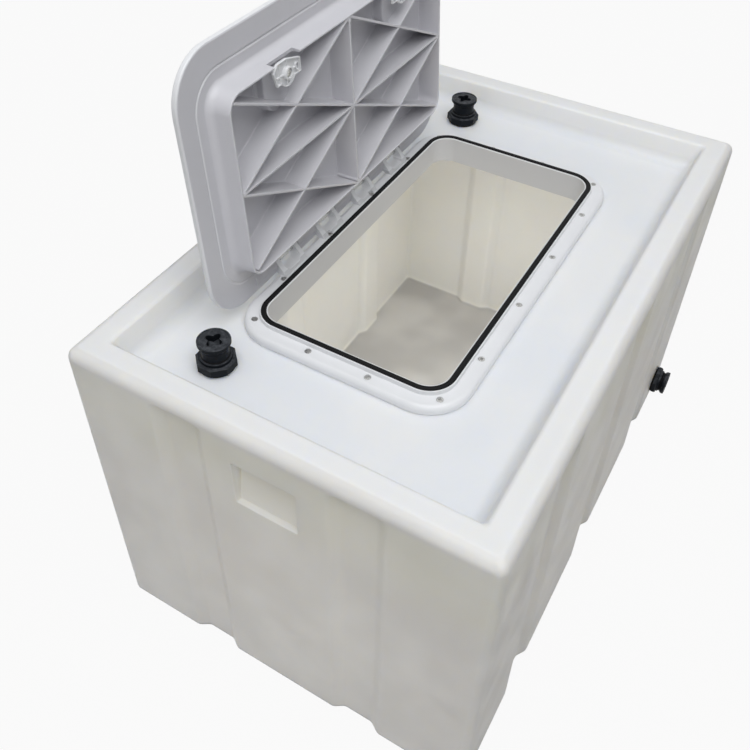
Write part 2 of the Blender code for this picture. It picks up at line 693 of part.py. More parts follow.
def build_lid(plastic, hinge):
    """The lid, modelled closed about the pin's axis, and swung open by its parent."""
    bm = bmesh.new()
    lid_shell(bm)
    lid = finish("hatch_lid", bm, plastic, hinge)

    high = PLATE_UNDER + LID_PLATE / 2
    low = SKIRT_END + RIB_DROP
    into_wall = SKIRT_DRAFT + SKIRT_WALL / 2
    end_x, end_y = SKIRT_X - into_wall, SKIRT_Y - into_wall
    middle = -LID_MIDDLE
    corner_x = end_x - 0.3 * (FRAME_CORNER_R - OPENING_INSET)
    corner_y = end_y - 0.3 * (FRAME_CORNER_R - OPENING_INSET)
    bars = {
        "rib_long": ((-end_x, middle), (end_x, middle)),
        "rib_cross": ((0, middle - end_y), (0, middle + end_y)),
        "rib_diagonal_a": ((-corner_x, middle - corner_y), (corner_x, middle + corner_y)),
        "rib_diagonal_b": ((-corner_x, middle + corner_y), (corner_x, middle - corner_y)),
    }
    for name, (start, end) in bars.items():
        rib = bmesh.new()
        prism(rib, bar(start, end, RIB), low, high)
        combine(lid, name + "_tool", rib, "UNION", hinge)
    diamond = bmesh.new()
    slope_x = RIB / 2 * math.hypot(end_x, end_y) / end_y
    slope_y = RIB / 2 * math.hypot(end_x, end_y) / end_x
    rings = [[(x + side * slope_x * (x > 0) - side * slope_x * (x < 0),
               middle + y + side * slope_y * (y > 0) - side * slope_y * (y < 0))
              for x, y in ((end_x, 0), (0, end_y), (-end_x, 0), (0, -end_y))] for side in (1, -1)]
    loft(diamond, [raised(rings[0], low), raised(rings[0], high),
                   raised(rings[1], high), raised(rings[1], low)], closed=True)
    combine(lid, "rib_diamond_tool", diamond, "UNION", hinge)

    wells, bosses, recesses, shafts, notches = (bmesh.new() for _ in range(5))
    for side in (-1, 1):
        prism(wells, well_outline(side, 0.0), WELL_BOTTOM, high)
        prism(recesses, well_outline(side, WELL_WALL), WELL_BOTTOM + WELL_FLOOR,
              LID_TOP + 2 * LID_CROWN)
        at = (side * LATCH_X, LATCH_Y)
        lathe(bosses, ((BOSS_R, boss_end()), (BOSS_R + BOSS_DRAFT, WELL_BOTTOM + WELL_FLOOR / 2)),
              SEGMENTS, centre=at)
        lathe(shafts, ((SHAFT_R + RUN, boss_end() - THROUGH), (SHAFT_R + RUN, LID_TOP)), SEGMENTS,
              centre=at)
        front = middle - SKIRT_Y
        box(notches, (at[0] - NOTCH_WIDTH / 2, front - SKIRT_ROOT, SKIRT_END - THROUGH),
            (at[0] + NOTCH_WIDTH / 2, front + 2 * SKIRT_WALL + SKIRT_DRAFT,
             SKIRT_END + NOTCH_DEPTH))
    combine(lid, "well_tool", wells, "UNION", hinge)
    combine(lid, "shaft_boss_tool", bosses, "UNION", hinge)
    combine(lid, "well_recess_tool", recesses, "DIFFERENCE", hinge)
    combine(lid, "shaft_bore_tool", shafts, "DIFFERENCE", hinge)
    combine(lid, "skirt_notch_tool", notches, "DIFFERENCE", hinge)

    scallops, barrels, pin_bore = bmesh.new(), bmesh.new(), bmesh.new()
    half = frame_knuckle_length() / 2 + KNUCKLE_SIDE_GAP
    for centre in frame_knuckle_centres():
        prism(scallops, scallop_outline(centre, half), LID_UNDER - THROUGH, LID_TOP + THROUGH)
    for centre in lid_knuckle_centres():
        barrel_hull(barrels, centre - LID_KNUCKLE_LENGTH / 2, centre + LID_KNUCKLE_LENGTH / 2,
                    ((-2 * BARREL_R, LID_UNDER + BARREL_FOOT_IN),
                     (-2 * BARREL_R, LID_TOP - BARREL_FOOT_IN)))
    reach = hinge_pin_reach() + THROUGH
    rod_x(pin_bore, PIN_R + RUN, -reach, reach)
    combine(lid, "scallop_tool", scallops, "DIFFERENCE", hinge)
    combine(lid, "lid_knuckle_tool", barrels, "UNION", hinge)
    combine(lid, "lid_pin_bore_tool", pin_bore, "DIFFERENCE", hinge)
    return lid


def boss_end():
    """Lower end of a latch's boss, above its washer and cam."""
    return CAM_TOP + WASHER_THICK + 2 * GAP


def well_outline(side, inset):
    """A latch's finger well: straight sides, a round end towards the hinge, soft front corners."""
    half = WELL_WIDTH / 2 - inset
    x = side * LATCH_X
    back = LATCH_Y + WELL_REACH_BACK - inset
    front = LATCH_Y - WELL_REACH_FRONT + inset
    corner = WELL_WIDTH / 5 - inset
    outline = [(x + px, back - half + py) for px, py in arc_pairs(half, 0, 180, 10)]
    outline += [(x - half + corner + px, front + corner + py)
                for px, py in arc_pairs(corner, 180, 270, 3)]
    outline += [(x + half - corner + px, front + corner + py)
                for px, py in arc_pairs(corner, 270, 360, 3)]
    return outline


def scallop_outline(centre, half):
    """A half-oval bite out of the lid's hinge edge, clear of a frame knuckle."""
    square_in = 0.6 * SCALLOP_DEPTH
    bite = [(centre + half * math.cos(a), -square_in - (SCALLOP_DEPTH - square_in) * math.sin(a))
            for a in (math.pi * k / 10 for k in range(11))]
    outer = 2 * SCALLOP_DEPTH
    return [(centre - half, outer), *reversed(bite), (centre + half, outer)]


def cam_outline(side):
    """The latch cam: a lobe to one side that swings to the front, a tail to the other, a straight
    front edge that stands in the skirt's notch, and a round heel."""
    front = LATCH_FROM_SKIRT - SKIRT_DRAFT
    shoulder = 0.85 * front
    heel = [(x, y) for x, y in arc_pairs(CAM_ARC_R, 33, 145, 7)]
    points = [(-0.67 * CAM_TAIL, -front), (0, -front), (CAM_HUB_R, -shoulder),
              (LOBE_REACH, -CAM_LOBE_HALF), (LOBE_REACH, CAM_LOBE_HALF), *heel,
              (-0.78 * CAM_TAIL, 0.6 * CAM_ARC_R), (-0.9 * CAM_TAIL, 0), (-CAM_TAIL, -CAM_LOBE_HALF)]
    return [(-side * x, y) for x, y in points]


def build_latch(name, side, hinge, knob_plastic, cam_plastic, rubber, steel):
    """A quarter-turn latch on an empty at its axis: knob and shaft, seal ring, washer, cam, screw."""
    axis = axis_empty(name + "_axis", (side * LATCH_X, LATCH_Y, 0), parent=hinge)
    floor = WELL_BOTTOM + WELL_FLOOR
    disc_low = floor + SEAL_RING_THICK + 2 * GAP
    disc_high = disc_low + KNOB_DISC
    shaft_end = CAM_TOP - CAM_THICK

    knob = bmesh.new()
    lathe(knob, ((SHAFT_R, CAM_TOP + GAP), (SHAFT_R, disc_low), (KNOB_R - SOFT, disc_low),
                 (KNOB_R, disc_low + SOFT), (KNOB_R, disc_high - SOFT), (KNOB_R - SOFT, disc_high)))
    knob_object = finish(name + "_knob", knob, knob_plastic, axis)
    grip = bmesh.new()
    grip_low, grip_high = disc_high - SOFT, disc_low + KNOB_GRIP_HEIGHT
    grip_half_x, grip_half_y = KNOB_GRIP_WIDTH / 2, KNOB_GRIP_LENGTH / 2
    levels = ((0, grip_low), (SOFT, grip_high - SOFT), (2 * SOFT, grip_high))
    loft(grip, [raised(rounded_rectangle(grip_half_x - lean, grip_half_y - lean,
                                         0.9 * (grip_half_x - lean), steps=3), z)
                for lean, z in levels])
    combine(knob_object, name + "_grip_tool", grip, "UNION", axis)
    square = bmesh.new()
    half = SHAFT_SQUARE / 2
    box(square, (-half, -half, shaft_end), (half, half, CAM_TOP + 2 * GAP))
    combine(knob_object, name + "_square_tool", square, "UNION", axis)
    thread = bmesh.new()
    lathe(thread, ((LATCH_SCREW_R + RUN, shaft_end - THROUGH),
                   (LATCH_SCREW_R + RUN, shaft_end + LATCH_SCREW_LENGTH + GAP)), FINE_SEGMENTS)
    combine(knob_object, name + "_thread_tool", thread, "DIFFERENCE", axis)

    ring = bmesh.new()
    inner, outer = SHAFT_R + RUN, SHAFT_R + RUN + SEAL_RING_WIDTH
    lathe(ring, ((inner, floor + GAP), (outer, floor + GAP), (outer, floor + GAP + SEAL_RING_THICK),
                 (inner, floor + GAP + SEAL_RING_THICK)), RING_SEGMENTS, closed=True)
    finish(name + "_seal_ring", ring, rubber, axis)

    washer = bmesh.new()
    low = CAM_TOP + GAP
    lathe(washer, ((inner, low), (WASHER_R, low), (WASHER_R, low + WASHER_THICK),
                   (inner, low + WASHER_THICK)), RING_SEGMENTS, closed=True)
    finish(name + "_washer", washer, steel, axis)

    cam = bmesh.new()
    prism(cam, cam_outline(side), shaft_end, CAM_TOP)
    cam_object = finish(name + "_cam", cam, cam_plastic, axis)
    hub = bmesh.new()
    hub_low = shaft_end - CAM_HUB_PROUD
    lathe(hub, ((CAM_HUB_R - SOFT, hub_low), (CAM_HUB_R, hub_low + SOFT),
                (CAM_HUB_R, CAM_TOP - CAM_THICK / 2)))
    combine(cam_object, name + "_hub_tool", hub, "UNION", axis)
    hole = bmesh.new()
    grown = SHAFT_SQUARE / 2 + RUN
    box(hole, (-grown, -grown, shaft_end - GAP), (grown, grown, CAM_TOP + THROUGH))
    combine(cam_object, name + "_square_hole_tool", hole, "DIFFERENCE", axis)
    pocket = bmesh.new()
    lathe(pocket, ((CAM_POCKET_R, hub_low - THROUGH), (CAM_POCKET_R, shaft_end)))
    combine(cam_object, name + "_hub_pocket_tool", pocket, "DIFFERENCE", axis)
    slot = bmesh.new()
    prism(slot, [(-side * (0.75 * LOBE_REACH + x), y)
                 for x, y in arc_pairs(CAM_SLOT_R, 0, 330, RING_SEGMENTS - 1)],
          shaft_end - THROUGH, CAM_TOP + THROUGH)
    combine(cam_object, name + "_slot_tool", slot, "DIFFERENCE", axis)

    screw = bmesh.new()
    head_r, seat = LATCH_SCREW_HEAD_R, shaft_end - GAP
    lathe(screw, ((head_r - SOFT, seat - LATCH_SCREW_HEAD), (head_r, seat - LATCH_SCREW_HEAD / 2),
                  (head_r, seat), (LATCH_SCREW_R, seat),
                  (LATCH_SCREW_R, seat + LATCH_SCREW_LENGTH)), FINE_SEGMENTS)
    finish(name + "_screw", screw, steel, axis)


def build_fitting(name, place, base_thick, neck_height, plastic, rubber):
    """A bulkhead fitting through the tank's wall. Its own +Z points out of the tank and its
    origin lies on the wall's outer face. The plug stands on its own empty."""
    base_low = WASHER_SOFT + 2 * GAP
    base_high = base_low + base_thick
    collar_high = base_high + COLLAR_HEIGHT

    body = bmesh.new()
    lathe(body, ((BORE_R, -TUBE_BELOW), (TUBE_R, -TUBE_BELOW), (TUBE_R, base_low + SOFT),
                 (COLLAR_R, base_low + SOFT), (COLLAR_R, collar_high - SOFT),
                 (COLLAR_R - SOFT, collar_high), (BORE_R, collar_high)), closed=True)
    body_object = finish(name + "_body", body, plastic, place=place)
    octagon = bmesh.new()
    corners = polygon(8, BASE_ACROSS_CORNERS, math.pi / 8)
    shrunk = polygon(8, BASE_ACROSS_CORNERS - 2 * BASE_CHAMFER, math.pi / 8)
    hole = polygon(8, TUBE_R + BORE_R, math.pi / 8)
    loft(octagon, [raised(hole, base_low), raised(corners, base_low),
                   raised(corners, base_high - BASE_CHAMFER), raised(shrunk, base_high),
                   raised(hole, base_high)], closed=True)
    combine(body_object, name + "_octagon_tool", octagon, "UNION", place=place)

    gasket = bmesh.new()
    outer = BASE_ACROSS_CORNERS / 2 * math.cos(math.pi / 8) - SOFT
    lathe(gasket, ((TUBE_R + GAP, GAP), (outer, GAP), (outer, GAP + WASHER_SOFT),
                   (TUBE_R + GAP, GAP + WASHER_SOFT)), closed=True)
    finish(name + "_gasket", gasket, rubber, place=place)

    nut = bmesh.new()
    high = -WALL - GAP
    low = high - NUT_THICK
    prism(nut, polygon(6, NUT_ACROSS_CORNERS), low, high)
    nut_object = finish(name + "_lock_nut", nut, plastic, place=place)
    nut_bore = bmesh.new()
    prism(nut_bore, polygon(SEGMENTS, 2 * (TUBE_R + GAP)), low - THROUGH, high + THROUGH)
    combine(nut_object, name + "_nut_bore_tool", nut_bore, "DIFFERENCE", place=place)

    lift = axis_empty(name + "_plug_axis", (0, 0, 0), place)
    seat = collar_high + ORING_THICK + 2 * GAP
    oring = bmesh.new()
    ring_in, ring_out = BORE_R + SOFT, COLLAR_R - 2 * SOFT
    low = collar_high + GAP
    lathe(oring, ((ring_in, low), (ring_out, low), (ring_out, low + ORING_THICK),
                  (ring_in, low + ORING_THICK)), RING_SEGMENTS, closed=True)
    finish(name + "_plug_ring", oring, rubber, lift)

    head_low = seat + neck_height
    head_high = head_low + PLUG_FLARE + PLUG_HEAD_THICK
    shank_r = BORE_R - RUN
    plug = bmesh.new()
    waist = NECK_R - NECK_WAIST
    lathe(plug, ((shank_r, seat - PLUG_SHANK_LENGTH), (shank_r, seat), (NECK_R, seat),
                 (NECK_R, seat + 0.1 * neck_height), (waist, seat + 0.3 * neck_height),
                 (waist, head_low - 0.2 * neck_height), (NECK_R + SOFT, head_low),
                 (PLUG_HEAD_R, head_low + PLUG_FLARE), (PLUG_HEAD_R, head_high - SOFT),
                 (PLUG_HEAD_R - SOFT, head_high), (PLUG_HEAD_R - PLUG_RIM, head_high),
                 (PLUG_HEAD_R - PLUG_RIM - SOFT, head_high - PLUG_DISH)))
    plug_object = finish(name + "_plug", plug, plastic, lift)
    key = bmesh.new()
    lobes = []
    for k in range(KEY_POINTS):
        a = 2 * math.pi * k / KEY_POINTS
        reach = KEY_R + KEY_LOBE * math.cos(4 * a)
        lobes.append((reach * math.cos(a), reach * math.sin(a)))
    prism(key, lobes, head_high - KEY_DEPTH, head_high + THROUGH)
    combine(plug_object, name + "_key_tool", key, "DIFFERENCE", lift)


def build():
    """Makes every piece of the box."""
    for old in list(bpy.data.objects):
        bpy.data.objects.remove(old, do_unlink=True)
    tank_plastic = material("natural_polyethylene", (0.80, 0.81, 0.79), 0.45)
    hatch_plastic = material("white_hatch_plastic", (0.82, 0.83, 0.85), 0.35)
    lid_plastic = material("grey_white_lid_plastic", (0.66, 0.66, 0.70), 0.40)
    rubber = material("black_rubber", (0.02, 0.02, 0.02), 0.60)
    foam = material("grey_foam", (0.25, 0.25, 0.25), 0.90)
    steel = material("stainless_steel", (0.60, 0.60, 0.60), 0.30, 1.0)
    black = material("black_plastic", (0.025, 0.027, 0.03), 0.40)

    hinge = axis_empty("lid_hinge_axis", (FRAME_X, PIN_Y, PIN_Z),
                       Matrix.Rotation(-math.radians(LID_OPEN_DEG), 4, "X"))
    build_tank(tank_plastic)
    build_frame(hatch_plastic)
    build_frame_trim(rubber, foam, steel)
    build_hinge_pin(steel)
    build_lid(lid_plastic, hinge)
    for side, name in ((-1, "latch_left"), (1, "latch_right")):
        build_latch(name, side, hinge, hatch_plastic, lid_plastic, rubber, steel)
    for side, name in ((-1, "deck_fitting_left"), (1, "deck_fitting_right")):
        build_fitting(name, Matrix.Translation((side * FITTING_X, FITTING_Y, DECK_Z)),
                      BASE_THICK, NECK_HEIGHT, black, rubber)
    build_fitting("drain", drain_place(), DRAIN_BASE, DRAIN_NECK, black, rubber)


build()
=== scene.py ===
"""Live fish transport box as photographed: its visible surfaces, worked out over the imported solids.

Metres, +Z up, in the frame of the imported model. The lid and its latches are worked out shut, about
the hinge's axis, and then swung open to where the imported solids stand.
"""

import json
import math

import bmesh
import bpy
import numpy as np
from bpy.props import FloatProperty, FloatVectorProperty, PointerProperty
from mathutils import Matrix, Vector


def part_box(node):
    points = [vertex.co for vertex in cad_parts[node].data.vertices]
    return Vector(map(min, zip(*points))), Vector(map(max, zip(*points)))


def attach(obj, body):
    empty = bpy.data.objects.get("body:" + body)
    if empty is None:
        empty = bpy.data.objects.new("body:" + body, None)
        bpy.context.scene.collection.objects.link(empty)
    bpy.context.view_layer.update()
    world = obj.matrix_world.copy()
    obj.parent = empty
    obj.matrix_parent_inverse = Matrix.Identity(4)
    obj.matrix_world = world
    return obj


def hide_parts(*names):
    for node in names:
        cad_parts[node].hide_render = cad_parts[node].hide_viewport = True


bl_info = {
    "name": "Live Fish Transport Box",
    "version": (1, 0, 0),
    "blender": (4, 5, 0),
    "location": "3D View > Sidebar > Fish Box",
    "description": "Makes the visible surfaces, finishes and stage of a live fish transport box",
    "category": "Add Mesh",
}

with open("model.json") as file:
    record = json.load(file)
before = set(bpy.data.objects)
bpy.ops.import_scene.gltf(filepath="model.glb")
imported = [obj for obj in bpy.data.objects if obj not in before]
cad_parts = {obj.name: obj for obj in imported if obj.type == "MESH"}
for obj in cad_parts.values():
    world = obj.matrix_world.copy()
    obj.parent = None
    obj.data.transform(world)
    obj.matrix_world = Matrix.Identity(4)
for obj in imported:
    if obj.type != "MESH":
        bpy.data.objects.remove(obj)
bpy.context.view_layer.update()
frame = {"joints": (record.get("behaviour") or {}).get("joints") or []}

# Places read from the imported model
JOINTS = {joint["name"]: joint for joint in frame["joints"]}
TANK_LOW, TANK_HIGH = (np.array(corner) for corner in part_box("tank_body"))
FRAME_LOW, FRAME_HIGH = (np.array(corner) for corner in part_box("hatch_frame"))
HINGE = np.array(JOINTS["lid_hinge"]["pos_m"])
SCREW_BOXES = [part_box(f"frame_screw_{number:02d}") for number in range(1, 17)]

# Clearances
GAP = 0.0003
RUN = 0.0003
THROUGH = 0.010

# Tank
WALL = 0.008
DECK_CORNER_R = 0.007
BASE_EDGE_R = 0.010
BASE_INSET = 0.05
RIM_INNER_R = 0.006
RIM_DRAFT = 0.006
DECK_FILLET = 0.020
FLUTE_TOP_DROP = 0.018
FLUTE_TOP_RUN = 0.009
SIDE_PITCH = 0.282
END_PITCH = 0.256
GRIP_WIDTH = 0.094
GRIP_HEIGHT = 0.078
GRIP_DROP = 0.057
GRIP_DEEP = 0.016
GRIP_SHALLOW = 0.006
GRIP_TAPER = 0.004
WAVE_DEPTH = 0.00017
# Heights of the band of painted warm shade below the tank's rim: low, full from, full to, high.
PAINTED_UNDER_RIM_SHADE_BAND = (0.36, 0.525, 0.540, 0.552)

# Hatch frame, in insets from the flange's edge and heights above the deck
FRAME_Y = 0.010
FRAME_WIDTH = 0.338
FRAME_CORNER_R = 0.062
FLANGE_TOP = 0.013
FLANGE_EDGE_R = 0.008
LIP_INSET = 0.0214
LIP_TOP = 0.020
LIP_WALL = 0.0015
LIP_EDGE = 0.0007
OPENING_INSET = 0.0325
COAMING_WALL = 0.005
COAMING_BELOW = 0.025
SEAL_FLOOR = 0.015
SEAL_TOP = 0.022
DECK_HOLE_CLEAR = 0.001
GASKET_OUTER = 0.0175
GASKET_INNER = 0.0250
GASKET_THICK = 0.0020
SCREW_HEAD_R = 0.0045
SCREW_SHANK_R = 0.0019
SCREW_HEAD_DEPTH = 0.0026
SCREW_BELOW_DECK = 0.012
SCREW_RECESS_DEPTH = 0.0022

# Hinge
PIN_R = 0.0020
PIN_ABOVE_DECK = 0.027
BARREL_R = 0.007
KNUCKLE_PITCH = 0.102
KNUCKLE_EDGE = 0.0006
LID_KNUCKLE_LENGTH = 0.046
KNUCKLE_SIDE_GAP = 0.001
SCALLOP_DEPTH = 0.020
ARM_FOOT_IN = 0.022
ARM_FOOT_OUT = 0.009
ARM_CHEEK = 0.0085
ARM_SILL = 0.004
ARM_SCOOP = (-0.035, 0.012)

# Lid, about the hinge's axis
LID_WIDTH = 0.375
LID_LENGTH = 0.635
LID_CORNER_R = 0.066
LID_EDGE = 0.009
LID_CROWN = 0.005
LID_PLATE = 0.0035
SKIRT_CLEAR = 0.004
SKIRT_HEIGHT = 0.031
SKIRT_WALL = 0.003
SKIRT_DRAFT = 0.0015
SKIRT_ROOT = 0.004
COVE_OUT = 0.008
COVE_DOWN = 0.014
GROOVE_FROM_END = 0.029
GROOVE_FROM_SIDE = 0.033
GROOVE_R = 0.050
GROOVE_HALF = ((0.0022, 0.0), (0.0014, 0.0006), (0.0006, 0.0012))
RIB = 0.003
RIB_FLARE = 0.002
RIB_DROP = 0.0005
POST_R = 0.0033
POST_INSET = 0.006

# Latches
LATCH_X = 0.146
LATCH_FROM_SKIRT = 0.020
WELL_WIDTH = 0.053
WELL_WALL = 0.0025
WELL_FLOOR = 0.0035
WELL_DEPTH = 0.0155
WELL_REACH_BACK = 0.055
WELL_REACH_FRONT = 0.0175
SHAFT_R = 0.005
SHAFT_SQUARE = 0.007
BOSS_R = 0.011
WASHER_R = 0.0105
WASHER_THICK = 0.0015
CAM_THICK = 0.004
CAM_TOP_DROP = 0.026
CAM_LOBE_IN_WALL = 0.0045
CAM_HUB_R = 0.0085
CAM_HUB_PROUD = 0.003
CAM_POCKET_R = 0.006
CAM_ARC_R = 0.0175
CAM_LOBE_HALF = 0.0095
CAM_TAIL = 0.029
CAM_FLOOR = 0.0012
CAM_RIM = 0.0014
CAM_EDGE = 0.0004
CAM_SLOT_R = 0.0022
CAM_SLOT_WALL = 0.0014
NOTCH_WIDTH = 0.054
NOTCH_DEPTH = 0.012
WINDOW_WIDTH = 0.050
WINDOW_CLEAR = 0.0012
KNOB_R = 0.0145
KNOB_DISC = 0.003
KNOB_EDGE = 0.0009
KNOB_GRIP_LENGTH = 0.027
KNOB_GRIP_WIDTH = 0.007
KNOB_GRIP_HEIGHT = 0.0105
SEAL_RING_THICK = 0.0015
SEAL_RING_WIDTH = 0.0032
LATCH_SCREW_R = 0.0018
LATCH_SCREW_HEAD_R = 0.0050
LATCH_SCREW_HEAD = 0.002
LATCH_SCREW_LENGTH = 0.010
LATCH_SCREW_SLOT = 0.0005

# Bulkhead fittings, each with its base's thickness and its plug's neck
FITTING_SIZES = {"deck_fitting_left": (0.013, 0.0155), "deck_fitting_right": (0.013, 0.0155),
                 "drain": (0.008, 0.0015)}
BASE_ACROSS_CORNERS = 0.056
BASE_CHAMFER = 0.0015
COLLAR_R = 0.0215
COLLAR_HEIGHT = 0.0035
COLLAR_EDGE = 0.0007
TUBE_R = 0.0165
TUBE_BELOW = 0.026
BORE_R = 0.0130
NECK_R = 0.0188
NECK_WAIST = 0.0007
NECK_SPREAD = 0.001
PLUG_HEAD_R = 0.0225
PLUG_FLARE = 0.0035
PLUG_HEAD_THICK = 0.0045
PLUG_EDGE = 0.0008
PLUG_RIM = 0.0022
PLUG_DISH = 0.0008
PLUG_SHANK_LENGTH = 0.016
MARK_RINGS = ((0.0186, 0.0), (0.0180, 1.0), (0.0164, 1.0), (0.0158, 0.0))
MARK_HEIGHT = 0.0018
KEY_R = 0.0097
KEY_LOBE = 0.0027
KEY_DEPTH = 0.010
NUT_ACROSS_CORNERS = 0.052
NUT_THICK = 0.009
WASHER_SOFT = 0.0025
ORING_THICK = 0.0020
THREAD_PITCH = 0.003
THREAD_DEPTH = 0.0007
FITTING_COLUMNS = 96

# Worked out from the sizes above
DECK_Z = FRAME_HIGH[2] - PIN_ABOVE_DECK - BARREL_R
FRAME_X = (FRAME_LOW[0] + FRAME_HIGH[0]) / 2
FRAME_LENGTH = FRAME_HIGH[0] - FRAME_LOW[0]
SCREW_PLACES = [((low[0] + high[0]) / 2, (low[1] + high[1]) / 2, DECK_Z + FLANGE_TOP)
                for low, high in SCREW_BOXES]
FLUTE_TOP = TANK_HIGH[2] - FLUTE_TOP_DROP
GRIP_TOP = TANK_HIGH[2] - GRIP_DROP
GRIP_LOW = GRIP_TOP - GRIP_HEIGHT
LID_MIDDLE = HINGE[1] - FRAME_Y
LID_UNDER = DECK_Z + SEAL_TOP + GAP - HINGE[2]
LID_TOP = LID_UNDER + LID_EDGE
PLATE_UNDER = LID_TOP - LID_PLATE
SKIRT_END = LID_UNDER - SKIRT_HEIGHT
SKIRT_X = FRAME_LENGTH / 2 - OPENING_INSET - SKIRT_CLEAR
SKIRT_Y = FRAME_WIDTH / 2 - OPENING_INSET - SKIRT_CLEAR
SKIRT_R = FRAME_CORNER_R - OPENING_INSET - SKIRT_CLEAR
LATCH_Y = -LID_MIDDLE - SKIRT_Y + LATCH_FROM_SKIRT
WELL_BOTTOM = PLATE_UNDER - WELL_DEPTH
WELL_INSIDE = WELL_BOTTOM + WELL_FLOOR
CAM_TOP = LID_UNDER - CAM_TOP_DROP
SHAFT_END = CAM_TOP - CAM_THICK
LOBE_REACH = LATCH_FROM_SKIRT + SKIRT_CLEAR + CAM_LOBE_IN_WALL
LID_KNUCKLES = (np.arange(5) - 2) * KNUCKLE_PITCH
FRAME_KNUCKLES = (LID_KNUCKLES[1:] + LID_KNUCKLES[:-1]) / 2
FRAME_KNUCKLE_LENGTH = KNUCKLE_PITCH - LID_KNUCKLE_LENGTH - 2 * KNUCKLE_SIDE_GAP
PIN_REACH = LID_KNUCKLES[-1] + LID_KNUCKLE_LENGTH / 2
LID_PLACE = Matrix.Translation(HINGE) @ Matrix.Rotation(
    -math.radians(JOINTS["lid_hinge"]["range_deg"][1]), 4, "X")

# What a wall row of the tank is, and what a Boolean step does
NO_WALL, OUTER, INNER, HOLE = range(4)
JOIN, CUT = "UNION", "DIFFERENCE"


# Arrays that become surfaces

def bend(x, y, radius, start, end, steps=4):
    """Points (x + r cos a, y + r sin a), with a running evenly from start to end, in degrees."""
    angle = np.radians(np.linspace(start, end, steps + 1))
    return np.stack((x + radius * np.cos(angle), y + radius * np.sin(angle)), axis=1)


def ease(share):
    """Soft step: 3t squared less 2t cubed, with t held between 0 and 1."""
    t = np.clip(share, 0.0, 1.0)
    return t * t * (3.0 - 2.0 * t)


def ring_plan(corner_steps, along_x=(), along_y=()):
    """Columns round a rounded rectangle, anticlockwise, as three arrays of pairs: sign, out and along.

    A column stands at sign times (half less radius), plus out times radius, plus along. A corner
    column turns out from one side's normal to the next; a side column keeps its distance along."""
    sign, out, along = [], [], []
    corners = ((1, 1), (-1, 1), (-1, -1), (1, -1))
    normals = ((0, 1), (-1, 0), (0, -1), (1, 0))
    for side, (corner, normal) in enumerate(zip(corners, normals)):
        stations = np.sort(np.asarray(along_y if side % 2 else along_x, float))
        stations = stations[::-1] if side < 2 else stations
        sign += [np.tile(corner, (corner_steps + 1, 1)), np.tile(normal, (len(stations), 1))]
        out += [bend(0.0, 0.0, 1.0, 90 * side, 90 * side + 90, corner_steps), sign[-1]]
        along += [np.zeros((corner_steps + 1, 2)),
                  stations[:, None] * ((0.0, 1.0) if side % 2 else (1.0, 0.0))]
    return np.concatenate(sign).astype(float), np.concatenate(out), np.concatenate(along)


def rounded(half_x, half_y, radius, points, least=0.0):
    """Rows for ring_grid from points of inset and height: half length, half width and corner
    radius, each less the inset, and height. The radius is held to least or more."""
    step, z = np.asarray(points, float).T
    return np.stack((half_x - step, half_y - step, np.maximum(radius - step, least), z), axis=1)


def ring_grid(plan, rows, centre=(0.0, 0.0), stretch=1.0, press=0.0):
    """Grid over rows of half length, half width, corner radius and height, and the plan's columns.

    Each point is the plan's rounded rectangle of its row, less out times press, about a centre.
    Stretch scales each row's distances along."""
    sign, out, along = plan
    half, radius, z = rows[:, None, :2], rows[:, 2:3], rows[:, 3]
    stretch = np.broadcast_to(stretch, (len(rows), 2))[:, None, :]
    flat = sign * (half - radius[:, :, None]) + out * (radius - press)[:, :, None]
    flat = flat + along * stretch + np.asarray(centre)
    return np.concatenate((flat, np.broadcast_to(z[:, None, None], (*flat.shape[:2], 1))), axis=2)


def polar_grid(columns, *rows):
    """Grid over rows of radius and height, each a number or an array over evenly spaced angles:
    every point is (r cos a, r sin a, z)."""
    angle = 2 * np.pi * np.arange(columns) / columns
    radius, height = (np.stack([np.broadcast_to(np.asarray(row[part], float), columns) for row in rows])
                      for part in (0, 1))
    return np.stack((radius * np.cos(angle), radius * np.sin(angle), height), axis=-1)


def skin(grid, close_rows=False):
    """Quads over a grid whose columns close on themselves, with its end rows capped or joined."""
    index = np.arange(grid.shape[0] * grid.shape[1]).reshape(grid.shape[:2])
    wrapped = np.pad(index, ((0, int(close_rows)), (0, 1)), mode="wrap")
    faces = np.stack((wrapped[:-1, :-1], wrapped[:-1, 1:], wrapped[1:, 1:], wrapped[1:, :-1]),
                     axis=-1).reshape(-1, 4).tolist()
    if not close_rows:
        faces += [index[0, ::-1].tolist(), index[-1].tolist()]
    return grid.reshape(-1, 3), faces


def together(*shapes):
    """Shapes that don't touch each other, as one."""
    points, faces, start = [], [], 0
    for shape_points, shape_faces in shapes:
        points.append(shape_points)
        faces += [[corner + start for corner in face] for face in shape_faces]
        start += len(shape_points)
    return np.concatenate(points), faces


def moved(shape, place):
    """A shape moved by an offset, or moved and turned by a matrix."""
    points, faces = shape
    if isinstance(place, Matrix):
        points = points @ np.array(place.to_3x3()).T
        place = place.translation
    return points + np.array(place), faces


def lathe(profile, columns=48, ring=False):
    """A profile of radius and height turned about Z: capped at its ends, or closed into a ring."""
    return skin(polar_grid(columns, *profile), close_rows=ring)


def prism(outline, *levels):
    """A flat outline carried up through levels of height and inset, and capped."""
    outline = np.asarray(outline, float)
    return skin(np.stack([
        np.column_stack((inset(outline, step) if step else outline, np.full(len(outline), z)))
        for z, step in levels]))


def bar_x(outline, x0, x1, soft=0.0):
    """An outline in the YZ plane carried along X from x0 to x1, its end edges drawn in by soft."""
    levels = ((x0, soft), (x0 + soft, 0.0), (x1 - soft, 0.0), (x1, soft))
    points, faces = prism(outline, *(levels if soft else levels[1:3]))
    return points[:, [2, 0, 1]], faces


def box(low, high):
    """A box between two corners."""
    outline = ((low[0], low[1]), (high[0], low[1]), (high[0], high[1]), (low[0], high[1]))
    return prism(outline, (low[2], 0.0), (high[2], 0.0))


